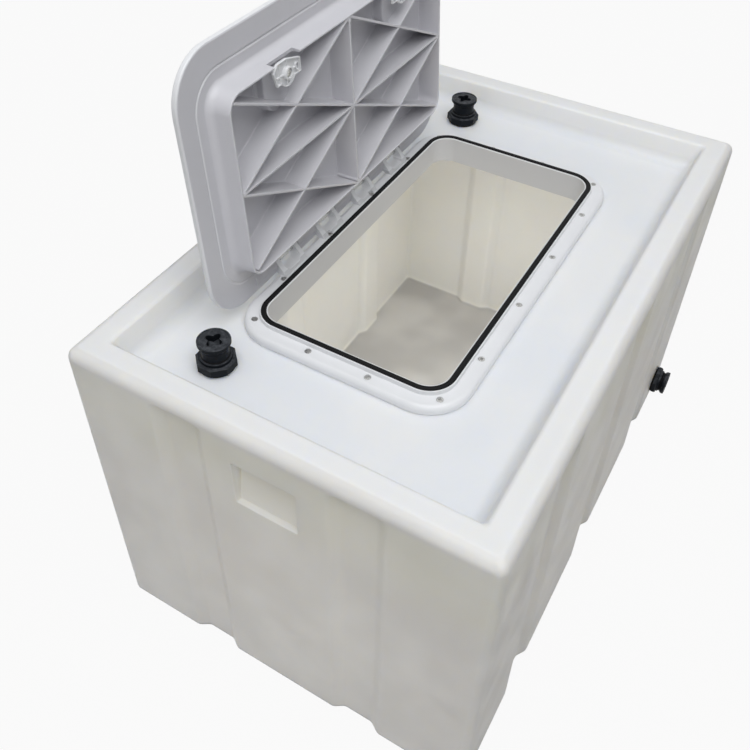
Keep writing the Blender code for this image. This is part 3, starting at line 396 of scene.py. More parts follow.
def inset(outline, distance):
    """Moves every side of an anticlockwise outline inwards by a distance: with unit normals n and m
    of the two sides at a corner, it moves by distance times (n + m) over (1 + n dot m)."""
    onward = np.roll(outline, -1, axis=0) - outline
    onward = onward / np.linalg.norm(onward, axis=1, keepdims=True)
    normal = np.stack((-onward[:, 1], onward[:, 0]), axis=1)
    before = np.roll(normal, 1, axis=0)
    meeting = (normal + before) / (1.0 + np.sum(normal * before, axis=1, keepdims=True))
    return outline + distance * meeting


def anticlockwise(*parts):
    """An outline's parts as one, in anticlockwise order, by the sign of its area."""
    outline = np.concatenate(parts).astype(float)
    x, y = outline.T
    area = np.sum(x * np.roll(y, -1) - np.roll(x, -1) * y)
    return outline if area > 0 else outline[::-1]


def polygon_radius(sides, across_corners, turn=0.0):
    """Radius of a regular polygon over evenly spaced angles: the apothem over the cosine of the
    angle from the nearest side's middle."""
    step = 2 * np.pi / sides
    angle = 2 * np.pi * np.arange(FITTING_COLUMNS) / FITTING_COLUMNS - turn
    from_middle = np.mod(angle, step) - step / 2
    return across_corners / 2 * math.cos(step / 2) / np.cos(from_middle)


def thread_rows(radius, low, high):
    """Rows of a screw thread: the radius less a triangle wave of z over the pitch less a turn's
    share, faded out at both ends."""
    steps_per_turn = 6
    z = np.linspace(low, high, int(round((high - low) / THREAD_PITCH * steps_per_turn)) + 1)
    turn = np.arange(FITTING_COLUMNS) / FITTING_COLUMNS
    ridge = np.abs(2 * np.mod(z[:, None] / THREAD_PITCH - turn, 1.0) - 1)
    fade = ease((z - low) / THREAD_PITCH) * ease((high - z) / THREAD_PITCH)
    return list(zip(radius - THREAD_DEPTH * ridge * fade[:, None], z))


def ring_section(inner, outer, low, thick, soft):
    """Section of a ring with softened edges, as radius and height."""
    near, far, foot, top = inner + soft, outer - soft, low + soft, low + thick - soft
    return np.concatenate([bend(x, z, soft, start, start + 90, 3) for x, z, start in (
        (near, foot, 180), (far, foot, 270), (far, top, 0), (near, top, 90))])


# Meshes and pieces

def mesh_of(shape):
    """A closed mesh from points and faces: doubles merged, faces turned outwards."""
    points, faces = shape
    mesh = bpy.data.meshes.new("shape")
    mesh.from_pydata(points.tolist(), [], faces)
    bm = bmesh.new()
    bm.from_mesh(mesh)
    bmesh.ops.remove_doubles(bm, verts=bm.verts, dist=1e-6)
    bmesh.ops.recalc_face_normals(bm, faces=bm.faces)
    bm.to_mesh(mesh)
    bm.free()
    return mesh


def linked(name, data):
    """A new object in the scene."""
    made = bpy.data.objects.new(name, data)
    bpy.context.scene.collection.objects.link(made)
    return made


def carve(shape, *steps):
    """Joins and cuts closed shapes on a first one, in turn, with exact Booleans. A step is JOIN or
    CUT and its shapes, which don't touch each other."""
    base = linked("carved", mesh_of(shape))
    tools = []
    for operation, *shapes in steps:
        tools.append(linked("tool", mesh_of(together(*shapes))))
        step = base.modifiers.new("step", "BOOLEAN")
        step.operation = operation
        step.object = tools[-1]
        step.solver = "EXACT"
    bpy.context.view_layer.update()
    graph = bpy.context.evaluated_depsgraph_get()
    result = bpy.data.meshes.new_from_object(base.evaluated_get(graph))
    for used in (base, *tools):
        mesh = used.data
        bpy.data.objects.remove(used, do_unlink=True)
        bpy.data.meshes.remove(mesh)
    return result


def piece(name, mesh, finish, body, nodes, place=None, sharp=30.0):
    """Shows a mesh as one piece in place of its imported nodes, smooth but for its sharp edges."""
    if isinstance(mesh, tuple):
        mesh = mesh_of(mesh)
    if place is not None:
        mesh.transform(place)
    mesh.name = name
    mesh.shade_smooth()
    mesh.set_sharp_from_angle(angle=math.radians(sharp))
    mesh.materials.clear()
    mesh.materials.append(finish)
    made = linked(name, mesh)
    made.modifiers.new("flat_faces_stay_flat", "WEIGHTED_NORMAL").keep_sharp = True
    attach(made, body)
    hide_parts(*nodes)


# Finishes, all on Object coordinates

def node(tree, kind, inputs, output=0, **settings):
    """An output of a new shader node. Each input takes a number, a vector or another output."""
    made = tree.nodes.new(kind)
    for key, value in settings.items():
        setattr(made, key, value)
    for key, value in inputs.items():
        if isinstance(value, bpy.types.NodeSocket):
            tree.links.new(value, made.inputs[key])
        else:
            made.inputs[key].default_value = value
    return made.outputs[output]


def place_of(tree, output="Object"):
    """Where a point is on the object, or another output of the texture coordinates."""
    return node(tree, "ShaderNodeTexCoord", {}, output)


def combined(tree, operation, a, b):
    """Two values worked on by a named operation."""
    return node(tree, "ShaderNodeMath", {0: a, 1: b}, operation=operation)


def dot(tree, a, b):
    """The dot product of two vectors."""
    return node(tree, "ShaderNodeVectorMath", {0: a, 1: b}, "Value", operation="DOT_PRODUCT")


def noise(tree, size, detail=3.0, stretch=(1.0, 1.0, 1.0)):
    """Noise whose patches are about size across, in metres, drawn out along the axes by stretch."""
    scale = [1.0 / (size * part) for part in stretch]
    place = node(tree, "ShaderNodeMapping", {"Vector": place_of(tree), "Scale": scale})
    return node(tree, "ShaderNodeTexNoise", {"Vector": place, "Scale": 1.0, "Detail": detail}, "Fac")


def ranged(tree, value, low, high, out_low=0.0, out_high=1.0):
    """A value mapped softly from one range to another."""
    return node(tree, "ShaderNodeMapRange", {
        "Value": value, "From Min": low, "From Max": high, "To Min": out_low, "To Max": out_high},
        "Result", interpolation_type="SMOOTHSTEP")


def uneven(tree, size, detail, low, high, stretch=(1.0, 1.0, 1.0)):
    """A value that wanders between two limits in patches of a size."""
    return ranged(tree, noise(tree, size, detail, stretch), 0.3, 0.7, low, high)


def both(tree, a, b):
    """One share times another."""
    return combined(tree, "MULTIPLY", a, b)


def band(tree, value, low, above, below, high):
    """1 where a value is between above and below, and softly 0 outside low and high."""
    return both(tree, ranged(tree, value, low, above), ranged(tree, value, below, high, 1.0, 0.0))


def shaded(colour, shares):
    """A colour times one share, or times one share for each channel."""
    return tuple(np.minimum(np.multiply(colour, shares), 1.0))


def blended(tree, share, colour, other):
    """A colour, or a colour output, that turns into another colour by a share."""
    first = colour if isinstance(colour, bpy.types.NodeSocket) else (*colour, 1.0)
    return node(tree, "ShaderNodeMix", {0: share, 6: first, 7: (*other, 1.0)}, 2, data_type="RGBA")


def height_of(tree, vector=None):
    """The Z part of a vector, or of the place on the object."""
    return node(tree, "ShaderNodeSeparateXYZ", {0: vector or place_of(tree)}, "Z")


def outwardness(tree):
    """How far a surface's direction points away from the Z axis: the direction times the place,
    both flat."""
    flat = node(tree, "ShaderNodeVectorMath", {0: place_of(tree), 1: (1.0, 1.0, 0.0)},
                operation="MULTIPLY")
    return dot(tree, flat, node(tree, "ShaderNodeNewGeometry", {}, "Normal"))


def finish_of(name, colour, roughness, **sockets):
    """A Principled material with its fixed numbers on the shader's own sockets."""
    made = bpy.data.materials.new(name)
    made.use_nodes = True
    inputs = made.node_tree.nodes["Principled BSDF"].inputs
    inputs["Base Color"].default_value = (*colour, 1.0)
    inputs["Roughness"].default_value = roughness
    for socket, value in sockets.items():
        inputs[socket.replace("_", " ")].default_value = value
    return made, made.node_tree


def worked(made, tone, roughness, *layers):
    """Gives a material its uneven tone and roughness and its bumps, one over another, each a height
    output and its depth in metres."""
    tree = made.node_tree
    sockets = {"Base Color": tone, "Roughness": roughness}
    for height, depth in layers:
        below = {"Normal": sockets["Normal"]} if "Normal" in sockets else {}
        sockets["Normal"] = node(tree, "ShaderNodeBump", {"Height": height, "Distance": depth, **below},
                                 "Normal")
    for socket, output in sockets.items():
        if output:
            tree.links.new(output, tree.nodes["Principled BSDF"].inputs[socket])
    return made


def tank_polyethylene(colour):
    """Natural polyethylene: milky and waxy, mottled in broad patches, with the faint orange peel and the
    shallow waves of a rotational moulding. Its tone also holds painted light and shade: painted shade on
    the outer walls, a painted warm glow on the inner walls, painted cool shade on the sunk deck, painted
    warm shade below the rim, and painted shade on the floor that stands on the ground, where no daylight
    comes through."""
    made, tree = finish_of("natural_polyethylene", colour, 0.42, Subsurface_Weight=1.0,
                           Subsurface_Radius=(1.0, 0.93, 0.78), Subsurface_Scale=0.014)
    height, outwards = height_of(tree), outwardness(tree)
    outer = ranged(tree, outwards, 0.03, 0.15)
    inside = both(tree, ranged(tree, outwards, -0.10, -0.03, 1.0, 0.0),
                  ranged(tree, height, DECK_Z - 2 * WALL, DECK_Z - WALL, 1.0, 0.0))
    deck = band(tree, height, DECK_Z - 0.004, DECK_Z - 0.001, DECK_Z + 0.001, DECK_Z + 0.020)
    # Painted warm shade on the outer wall just below the rim.
    painted_under_rim_shade = both(tree, band(tree, height, *PAINTED_UNDER_RIM_SHADE_BAND), outer)
    # Painted shade on the floor that stands on the ground.
    painted_floor_shade = ranged(tree, height, WALL + 0.001, WALL + BASE_EDGE_R / 2, 1.0, 0.0)
    patches = ranged(tree, noise(tree, 0.16, 2.0), 0.35, 0.65, 0.0, 0.40)
    tone = colour
    # Painted light and shade in the tone: outer walls darker, inner walls brighter and warmer, sunk deck
    # darker and bluer, the band below the rim darker and warmer, the floor darker; only the patches are the
    # moulding's own uneven tone.
    for share, shares in ((outer, (0.84, 0.83, 0.82)), (inside, (1.04, 1.015, 0.955)),
                          (deck, (0.86, 0.89, 0.94)), (painted_under_rim_shade, (0.87, 0.86, 0.79)),
                          (painted_floor_shade, 0.56), (patches, (0.96, 0.955, 0.94))):
        tone = blended(tree, share, tone, shaded(colour, shares))
    return worked(made, tone, uneven(tree, 0.05, 4.0, 0.36, 0.50),
                  (noise(tree, 0.09, 2.0), 0.0022), (noise(tree, 0.0022, 2.0), 0.00006))


def white_moulding(name, colour, roughness, grain):
    """White injection moulding: an even tone with faint flow marks, and a fine grain."""
    made, tree = finish_of(name, colour, roughness)
    tone = blended(tree, uneven(tree, 0.045, 3.0, 0.0, 1.0, (1.0, 1.0, 2.5)),
                   shaded(colour, 1.01), shaded(colour, 0.985))
    worked(made, tone, uneven(tree, 0.02, 4.0, roughness - 0.02, roughness + 0.03),
           (noise(tree, 0.06, 1.0), 0.00015), (noise(tree, 0.0009, 1.0), grain))
    return made, tree, tone


def frame_plastic(colour):
    """The hatch frame's white plastic. Its inward faces below the lip are greyer, as painted shade inside
    the hatch."""
    made, tree, tone = white_moulding("white_hatch_plastic", colour, 0.30, 0.00001)
    lip = DECK_Z + LIP_TOP - 0.001
    # Painted shade: the inward faces below the lip are greyed.
    painted_coaming_shade = both(tree, ranged(tree, height_of(tree), lip - 0.001, lip, 1.0, 0.0),
                ranged(tree, outwardness(tree), -0.10, -0.03, 1.0, 0.0))
    return worked(made, blended(tree, painted_coaming_shade, tone, shaded(colour, 0.78)), None)


def lid_plastic(colour, outside=(0.82, 0.825, 0.84)):
    """The lid's white plastic, with painted shade: its colour is the grey of its shaded underside. What
    faces up when the lid is shut keeps the paler white, and what faces away from its middle above the
    rim's underside is paler as a painted highlight on the lid's edge. Directions are the object's own,
    so that they turn with the lid."""
    made, tree, tone = white_moulding("grey_white_moulding", colour, 0.38, 0.00002)
    facing, up = place_of(tree, "Normal"), LID_PLACE.col[2][:3]
    middle = (LID_PLACE @ Matrix.Translation((0.0, -LID_MIDDLE, 0.0))).translation
    away = node(tree, "ShaderNodeVectorMath", {0: place_of(tree), 1: middle}, operation="SUBTRACT")
    # Painted highlight on the lid's outward edge above the rim's underside, and the pale white on what faces
    # up when shut; elsewhere the grey is painted shade.
    rim = both(tree, ranged(tree, dot(tree, away, facing), 0.13, 0.17),
               ranged(tree, dot(tree, away, up), LID_UNDER - 0.0005, LID_UNDER + 0.0015))
    share = combined(tree, "MAXIMUM", rim, ranged(tree, dot(tree, facing, up), 0.3, 0.6))
    return worked(made, blended(tree, share, tone, outside), None)


def black_rubber(name, colour, grain):
    """Soft black rubber or foam: a dull tone with a little dust, and a fine open grain."""
    made, tree = finish_of(name, colour, 0.62, Specular_IOR_Level=0.15)
    dust = ranged(tree, noise(tree, 0.012, 5.0), 0.45, 0.75, 0.0, 0.35)
    return worked(made, blended(tree, dust, colour, shaded(colour, 2.2)), None,
                  (noise(tree, 0.0008, 2.0), grain))


def stainless_steel(colour=(0.60, 0.60, 0.59)):
    """Turned stainless steel with fine scratches along X and uneven polish."""
    made, tree = finish_of("stainless_steel", colour, 0.28, Metallic=1.0)
    return worked(made, blended(tree, uneven(tree, 0.004, 4.0, 0.0, 1.0), colour, shaded(colour, 0.78)),
                  uneven(tree, 0.0004, 2.0, 0.20, 0.42, (12.0, 1.0, 1.0)),
                  (noise(tree, 0.0003, 2.0, (15.0, 1.0, 1.0)), 0.00001))


def black_moulding(colour, dusty=(0.085, 0.09, 0.10)):
    """Satin black moulding with pale dust on what faces up and a leathery grain."""
    made, tree = finish_of("black_moulding", colour, 0.40, Specular_IOR_Level=0.10)
    upward = height_of(tree, node(tree, "ShaderNodeNewGeometry", {}, "Normal"))
    dust = both(tree, ranged(tree, upward, 0.4, 0.95, 0.03, 1.0),
                ranged(tree, noise(tree, 0.006, 6.0), 0.35, 0.72, 0.30, 0.80))
    return worked(made, blended(tree, dust, colour, dusty), uneven(tree, 0.004, 3.0, 0.34, 0.58),
                  (noise(tree, 0.0012, 3.0), 0.00005))


# Tank

def tank_stations(s):
    """Distances along the long and short sides at which the wall bends: across each flute, at
    the hand grip's edges, and evenly between."""
    flank = np.linspace(s.flute_floor / 2, s.flute_width / 2, 9)
    flute = np.concatenate((-flank, [0.0], flank))
    long_side = (SIDE_PITCH * np.array([[-1], [0], [1]]) + flute).ravel()
    short_side = (END_PITCH * np.array([[-0.5], [0.5]]) + flute).ravel()
    edge = GRIP_WIDTH / 2 - np.linspace(-0.0008, GRIP_TAPER + 0.0008, 7)
    evenly_long = TANK_HIGH[0] * np.array([-0.86, -0.78, -0.42, -0.30, 0.30, 0.42, 0.78, 0.86])
    evenly_short = np.array([-0.235, -0.205, -0.066, -0.022, 0.0, 0.022, 0.066, 0.205, 0.235])
    return (np.concatenate((long_side, evenly_long)),
            np.concatenate((short_side, edge, -edge, evenly_short)))


def grip_depth(y, z, grow):
    """Depth of the hand grip: a ramp from shallow at the bottom to deep at the top, times a soft
    step in from each of its four edges."""
    ramp = GRIP_SHALLOW + (GRIP_DEEP - GRIP_SHALLOW) * np.clip((z - GRIP_LOW) / GRIP_HEIGHT, 0, 1)
    sides = ease((GRIP_WIDTH / 2 + grow - np.abs(y)) / GRIP_TAPER)
    ends = ease((z - GRIP_LOW + grow) / GRIP_TAPER) * ease((GRIP_TOP + grow - z) / (GRIP_TAPER / 2))
    return (ramp * ends)[:, None] * sides


def tank_rows(s):
    """Rows of the tank's skin from under its base, up the outside, over the rim, across the sunk
    deck to the hatch hole, and back down the inside: half length, half width, radius, height,
    flute share and which wall it is."""
    top = TANK_HIGH[2]

    def rows(points, flute=0.0, wall=NO_WALL):
        ring = rounded(TANK_HIGH[0], TANK_HIGH[1], s.corner_radius, points, DECK_CORNER_R)
        return np.column_stack((ring, np.broadcast_to(flute, len(ring)), np.full(len(ring), wall)))

    climb = np.concatenate((
        np.linspace(0.035, GRIP_LOW - 0.012, 12), GRIP_LOW + np.linspace(-0.001, GRIP_TAPER + 0.001, 7),
        np.linspace(GRIP_LOW + 0.012, GRIP_TOP - 0.010, 6),
        GRIP_TOP + np.linspace(-GRIP_TAPER / 2 - 0.0007, 0.0007, 6),
        np.linspace(GRIP_TOP + 0.012, FLUTE_TOP - FLUTE_TOP_RUN - 0.002, 3),
        FLUTE_TOP + np.linspace(-FLUTE_TOP_RUN, 0.0, 7)))
    fade = ease((FLUTE_TOP - climb) / FLUTE_TOP_RUN)
    upright = np.column_stack((np.zeros_like(climb), climb))
    descent = upright[::-1] + (WALL, -WALL / 4)
    edge, rim, inner = BASE_EDGE_R, s.rim_radius, s.rim_radius - WALL
    foot = s.rim_width + RIM_INNER_R + RIM_DRAFT
    hollow = foot - WALL
    under = DECK_Z - WALL
    hole = OPENING_INSET - COAMING_WALL - DECK_HOLE_CLEAR
    hole_rows = rounded(FRAME_LENGTH / 2, FRAME_WIDTH / 2, FRAME_CORNER_R, ((hole, DECK_Z), (hole, under)))
    return np.concatenate((
        rows([(BASE_INSET, 0.0)], 1.0, OUTER), rows(bend(edge, edge, edge, 270, 180, 7), 1.0, OUTER),
        rows(upright, fade, OUTER), rows(bend(rim, top - rim, rim, 180, 90, 10)),
        rows(bend(s.rim_width, top - RIM_INNER_R, RIM_INNER_R, 90, 0, 5)),
        rows(bend(foot + DECK_FILLET, DECK_Z + DECK_FILLET, DECK_FILLET, 180, 270, 8)),
        np.column_stack((hole_rows, (0.0, 0.0), (HOLE, HOLE))),
        rows(bend(hollow + DECK_FILLET, under + DECK_FILLET, DECK_FILLET, 270, 180, 5)),
        rows([(s.rim_width - WALL / 2, top - WALL - RIM_INNER_R), (s.rim_width - WALL, top - WALL)]),
        rows(bend(rim, top - rim, inner, 90, 180)), rows(descent, fade[::-1], INNER),
        rows(bend(WALL + edge, WALL + edge, edge, 180, 270, 6), 1.0, INNER),
        rows([(BASE_INSET, WALL)], 1.0, INNER)))


def tank_shape(s):
    """The tank's skin: its rows, pressed in by flutes, hand grips and moulding waves.

    Flute: depth times a soft step across its flanks times the row's share. Waves: a third of a
    millimetre times a sum of two sines of height and distance along the wall, always inwards."""
    plan = ring_plan(12, *tank_stations(s))
    rows = tank_rows(s)
    z, share, wall = rows[:, 3], rows[:, 4], rows[:, 5]
    sign, out, along = plan
    side_normal = (np.abs(out) > 0.999).any(axis=1) & (np.abs(sign).sum(axis=1) < 1.5)
    across = np.where((np.abs(along[:, 0]) > 0) | (side_normal & (np.abs(out[:, 1]) > 0.5)),
                      along[:, 0] - SIDE_PITCH * np.clip(np.round(along[:, 0] / SIDE_PITCH), -1, 1),
                      np.abs(along[:, 1]) - END_PITCH / 2)
    flute = ease((s.flute_width / 2 - np.abs(across)) / ((s.flute_width - s.flute_floor) / 2))
    flute = flute * ((np.abs(along) > 0).any(axis=1) | side_normal)
    press = s.flute_depth * share[:, None] * flute
    on_end = side_normal & (np.abs(out[:, 0]) > 0.5)
    for which, grow in ((OUTER, 0.0), (INNER, WALL)):
        press = press + grip_depth(along[:, 1], z, grow) * on_end * (wall == which)[:, None]
    far = along.sum(axis=1)
    wave = 2 + np.sin(9 * z[:, None] + 5 * far) + np.sin(17 * z[:, None] - 11 * far + 2)
    fade = ease((z - 0.02) / 0.06) * ease((FLUTE_TOP - z) / 0.05) * (wall == OUTER)
    press = press + WAVE_DEPTH * wave * fade[:, None] * side_normal
    stretch = (rows[:, :2] - rows[:, 2:3]) / (TANK_HIGH[:2] - s.corner_radius)
    centre = np.where((wall == HOLE)[:, None], (FRAME_X, FRAME_Y), 0.0)
    return skin(ring_grid(plan, rows, centre[:, None, :], stretch, press))


def make_tank(s):
    """The tank with holes for the three bulkhead fittings and the hatch's screws."""
    tube, shank = TUBE_R + RUN, SCREW_SHANK_R + RUN
    holes = [moved(lathe(((tube, -2 * WALL), (tube, 2 * WALL if name == "drain" else WALL))), place)
             for name, (place, _, _) in FITTINGS.items()]
    pilot = lathe(((shank, -FLANGE_TOP - 2 * WALL), (shank, WALL - FLANGE_TOP)), 8)
    mesh = carve(tank_shape(s), (CUT, *holes, *[moved(pilot, place) for place in SCREW_PLACES]))
    piece("tank_moulding", mesh, tank_polyethylene(tuple(s.colour)), "tank",
          ["tank_body"], sharp=38.0)


def fitting_places():
    """Each bulkhead fitting's frame, whose +Z points out of the tank from the wall's face, the
    thickness of its base and the height of its plug's neck."""
    places = {}
    for name, (base, neck) in FITTING_SIZES.items():
        low, high = (np.array(corner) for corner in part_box(name + "_body"))
        x, y, z = (low + high) / 2
        place = Matrix.Translation((x, y, DECK_Z))
        if name == "drain":
            place = Matrix.Translation((x, TANK_LOW[1], z)) @ Matrix.Rotation(math.radians(90), 4, "X")
        places[name] = (place, base, neck)
    return places


FITTINGS = fitting_places()


# Hatch frame and what it carries

def frame_ring(profile):
    """A closed ring round the hatch frame for a profile of inset and height above the deck."""
    rows = rounded(FRAME_LENGTH / 2, FRAME_WIDTH / 2, FRAME_CORNER_R, profile) + (0.0, 0.0, 0.0, DECK_Z)
    return skin(ring_grid(ring_plan(14), rows, (FRAME_X, FRAME_Y)), close_rows=True)


def frame_profile():
    """The frame's closed section: round flange edge, flat, seal lips, coaming with soft ends, and a flat
    foot with a groove for its gasket."""
    r, soft, opening, coaming = FLANGE_EDGE_R, LIP_EDGE, OPENING_INSET, OPENING_INSET - COAMING_WALL
    outer, inner, foot_top = GASKET_OUTER - GAP, GASKET_INNER + GAP, GASKET_THICK + 2 * GAP
    return np.concatenate((
        bend(r, FLANGE_TOP - r, r, 180, 90, 10), bend(LIP_INSET - soft, FLANGE_TOP + soft, soft, 270, 360),
        bend(LIP_INSET + soft, LIP_TOP - soft, soft, 180, 90),
        ((LIP_INSET + LIP_WALL, LIP_TOP), (LIP_INSET + LIP_WALL, SEAL_FLOOR),
         (opening - LIP_WALL, SEAL_FLOOR), (opening - LIP_WALL, LIP_TOP)),
        bend(opening - soft, LIP_TOP - soft, soft, 90, 0),
        bend(opening - soft, soft - COAMING_BELOW, soft, 0, -90),
        bend(coaming + soft, soft - COAMING_BELOW, soft, 270, 180),
        ((coaming, GAP), (inner, GAP), (inner, foot_top), (outer, foot_top), (outer, GAP), (soft, GAP),
         (0.0, GAP + soft))))


def knuckle_outline(foot):
    """Outline of a hinge knuckle: round the pin's axis, with straight sides that leave the circle
    at a tangent and end at two foot points. A tangent touches where the angle between it and the
    line to the foot has cosine radius over distance."""
    turn = [math.atan2(y, x) for x, y in foot]
    opening = [math.acos(BARREL_R / math.hypot(x, y)) for x, y in foot]
    start = math.degrees(turn[0] + opening[0])
    end = math.degrees(turn[1] - opening[1])
    end += 360 * (end < start)
    return anticlockwise(bend(0.0, 0.0, BARREL_R, start, end, 20), foot[::-1])


def scoop_outline(half, low):
    """A wide U with round lower corners, open above a hinge arm."""
    corner = 0.5 * half
    return anticlockwise(bend(corner - half, low + corner, corner, 180, 270, 8),
                         bend(half - corner, low + corner, corner, 270, 360, 8),
                         ((half, 2 * BARREL_R), (-half, 2 * BARREL_R)))


def pin_bore():
    """A cutter for the pin's hole through every knuckle."""
    reach = PIN_REACH + THROUGH
    return bar_x(bend(0.0, 0.0, PIN_R + RUN, 0, 345, 23), -reach, reach)


def make_frame(s):
    """The hatch frame: its ring, four hinge knuckles, the pin's bore, the screws' countersinks
    and two windows for the latches."""
    foot_z = FLANGE_TOP - (HINGE[2] - DECK_Z) - 0.001
    half = FRAME_KNUCKLE_LENGTH / 2
    arm = bar_x(knuckle_outline(((-ARM_FOOT_OUT, foot_z), (-ARM_FOOT_IN, foot_z))), -half, half, KNUCKLE_EDGE)
    points, faces = bar_x(scoop_outline(half - ARM_CHEEK, foot_z + ARM_SILL), *ARM_SCOOP)
    scoop = points[:, [1, 0, 2]], faces
    knuckles = [HINGE + (middle, 0.0, 0.0) for middle in FRAME_KNUCKLES]
    shank, head = SCREW_SHANK_R + GAP, SCREW_HEAD_R + 2 * GAP
    sink = lathe(((shank, -SCREW_BELOW_DECK - FLANGE_TOP - THROUGH), (shank, -SCREW_HEAD_DEPTH - GAP),
                  (head, -1.5 * GAP), (head, THROUGH)), 24)
    wall_y = FRAME_Y - FRAME_WIDTH / 2 + OPENING_INSET
    cam_z = HINGE[2] + CAM_TOP
    window = box((-WINDOW_WIDTH / 2, wall_y - 2 * COAMING_WALL, cam_z - CAM_THICK - WINDOW_CLEAR),
                 (WINDOW_WIDTH / 2, wall_y + COAMING_WALL, cam_z + WINDOW_CLEAR))
    mesh = carve(frame_ring(frame_profile()), (JOIN, *[moved(arm, place) for place in knuckles]),
                 (CUT, *[moved(scoop, place) for place in knuckles]), (CUT, moved(pin_bore(), HINGE)),
                 (CUT, *[moved(sink, place) for place in SCREW_PLACES],
                  *[moved(window, (FRAME_X + x, 0.0, 0.0)) for x in (-LATCH_X, LATCH_X)]))
    piece("hatch_frame_moulding", mesh, frame_plastic(tuple(s.frame_colour)), "tank",
          ["hatch_frame"])


def make_seals(s):
    """The lid's seal, with a soft crown and a lip each side, and the gasket under the flange."""
    outer, inner = LIP_INSET + LIP_WALL + GAP, OPENING_INSET - LIP_WALL - GAP
    share = np.linspace(0.0, 1.0, 13)
    crown = SEAL_TOP - 0.0016 * (2 * share - 1) ** 4 - 0.0004 * (1 + np.cos(4 * np.pi * share)) / 2
    profile = np.concatenate(([(outer, SEAL_FLOOR + GAP)],
                              np.column_stack((outer + (inner - outer) * share, crown)),
                              [(inner, SEAL_FLOOR + GAP)]))
    rubber = black_rubber("black_seal_rubber", tuple(s.seal_colour), 0.00002)
    piece("lid_seal_rubber", frame_ring(profile), rubber, "tank", ["lid_seal"])
    foam = black_rubber("grey_gasket_foam", (0.25, 0.25, 0.25), 0.00008)
    section = ((GASKET_OUTER, GAP), (GASKET_OUTER, GAP + GASKET_THICK),
               (GASKET_INNER, GAP + GASKET_THICK), (GASKET_INNER, GAP))
    piece("frame_gasket_foam", frame_ring(section), foam, "tank", ["frame_gasket"])


def make_screws(steel):
    """Countersunk screws with a cross recess, each turned a little further than the last."""
    head = SCREW_HEAD_R
    screw = lathe(((SCREW_SHANK_R, -SCREW_BELOW_DECK - FLANGE_TOP), (SCREW_SHANK_R, -SCREW_HEAD_DEPTH),
                   (head - 0.0002, -GAP - 0.0003), (head, -GAP - 0.0001), (head - 0.0003, -GAP),
                   (0.6 * head, -GAP + 0.0002)), 32)
    half, slot = 0.60 * head, 0.17 * head
    arm = np.array(((slot, slot), (slot, half), (-slot, half)))
    quarter = np.array(((0.0, -1.0), (1.0, 0.0)))
    cross = anticlockwise(*[arm @ np.linalg.matrix_power(quarter, k).T for k in range(4)])
    mesh = carve(screw, (CUT, prism(cross, (-SCREW_RECESS_DEPTH, 0.00012), (THROUGH, 0.0))))
    for number, middle in enumerate(SCREW_PLACES, 1):
        name = f"frame_screw_{number:02d}"
        piece("cross_head_" + name, mesh.copy(), steel, "tank", [name],
              Matrix.Translation(middle) @ Matrix.Rotation(2.4 * number, 4, "Z"))


def make_hinge_pin(steel):
    """The hinge's rod, its ends turned down to a small cone."""
    rod = bar_x(bend(0.0, 0.0, PIN_R, 0, 345, 23), -PIN_REACH, PIN_REACH, 0.0005)
    piece("hinge_rod", rod, steel, "tank", ["hinge_pin"], Matrix.Translation(HINGE))


# Lid, worked out shut about the hinge's axis

def lid_shape(s):
    """The lid's skin, from the middle of its crowned face over its rim, past the groove round its
    underside, and down and up its skirt. Crown: height times the sine of a quarter turn's share."""
    half_x, half_y, edge = LID_LENGTH / 2, LID_WIDTH / 2, LID_EDGE / 3
    share = np.linspace(1.0, 0.0, 12)
    steps = 1.6 * edge + share * (LID_WIDTH / 4 - 1.6 * edge)
    crown = np.column_stack((steps, LID_TOP + s.crown * np.sin(share * np.pi / 2)))
    rim = np.concatenate((crown, bend(edge, LID_TOP - edge, edge, 105, 180, 6),
                          bend(edge, LID_UNDER + edge, edge, 180, 270, 6)))
    groove = [(-x, z) for x, z in GROOVE_HALF] + list(GROOVE_HALF[::-1])
    tip, inner, fillet = SKIRT_WALL / 3, SKIRT_DRAFT + SKIRT_WALL, SKIRT_ROOT / 2
    skirt = np.concatenate((
        bend(0.0, 0.0, 1.0, 90, 0, 9) * (COVE_OUT, COVE_DOWN) + (-COVE_OUT, LID_UNDER - COVE_DOWN),
        bend(SKIRT_DRAFT + tip, SKIRT_END + tip, tip, 180, 270),
        bend(inner - tip, SKIRT_END + tip, tip, -90, 0),
        bend(inner + SKIRT_DRAFT + fillet, PLATE_UNDER - fillet, fillet, 180, 90)))
    rows = np.concatenate((
        rounded(half_x, half_y, LID_CORNER_R, rim, LID_CORNER_R / 4),
        rounded(half_x - GROOVE_FROM_END, half_y - GROOVE_FROM_SIDE, GROOVE_R,
                np.array(groove) + (0.0, LID_UNDER)),
        rounded(SKIRT_X, SKIRT_Y, SKIRT_R, skirt)))
    return skin(ring_grid(ring_plan(14), rows, (0.0, -LID_MIDDLE)))


def rib(start, end, low):
    """A rib carried from one point to another: its section has a flat tip with soft edges, sides
    that thicken a little towards the plate, and a flared root."""
    start, end = np.array(start, float), np.array(end, float)
    onward = (end - start) / np.linalg.norm(end - start)
    aside = np.array((-onward[1], onward[0]))
    tip, root, soft = 0.54 * RIB, 0.64 * RIB + RIB_FLARE, 0.2 * RIB
    left = bend(soft - tip, low + soft, soft, 180, 270, 3)
    side = np.concatenate((bend(root, PLATE_UNDER - RIB_FLARE, RIB_FLARE, 180, 90),
                           [(root, PLATE_UNDER + 0.0012)]))
    section = np.concatenate((left, left[::-1] * (-1.0, 1.0), side, side[::-1] * (-1.0, 1.0)))
    return skin(np.stack([np.column_stack((point + section[:, :1] * aside, section[:, 1]))
                          for point in (start, end)]))


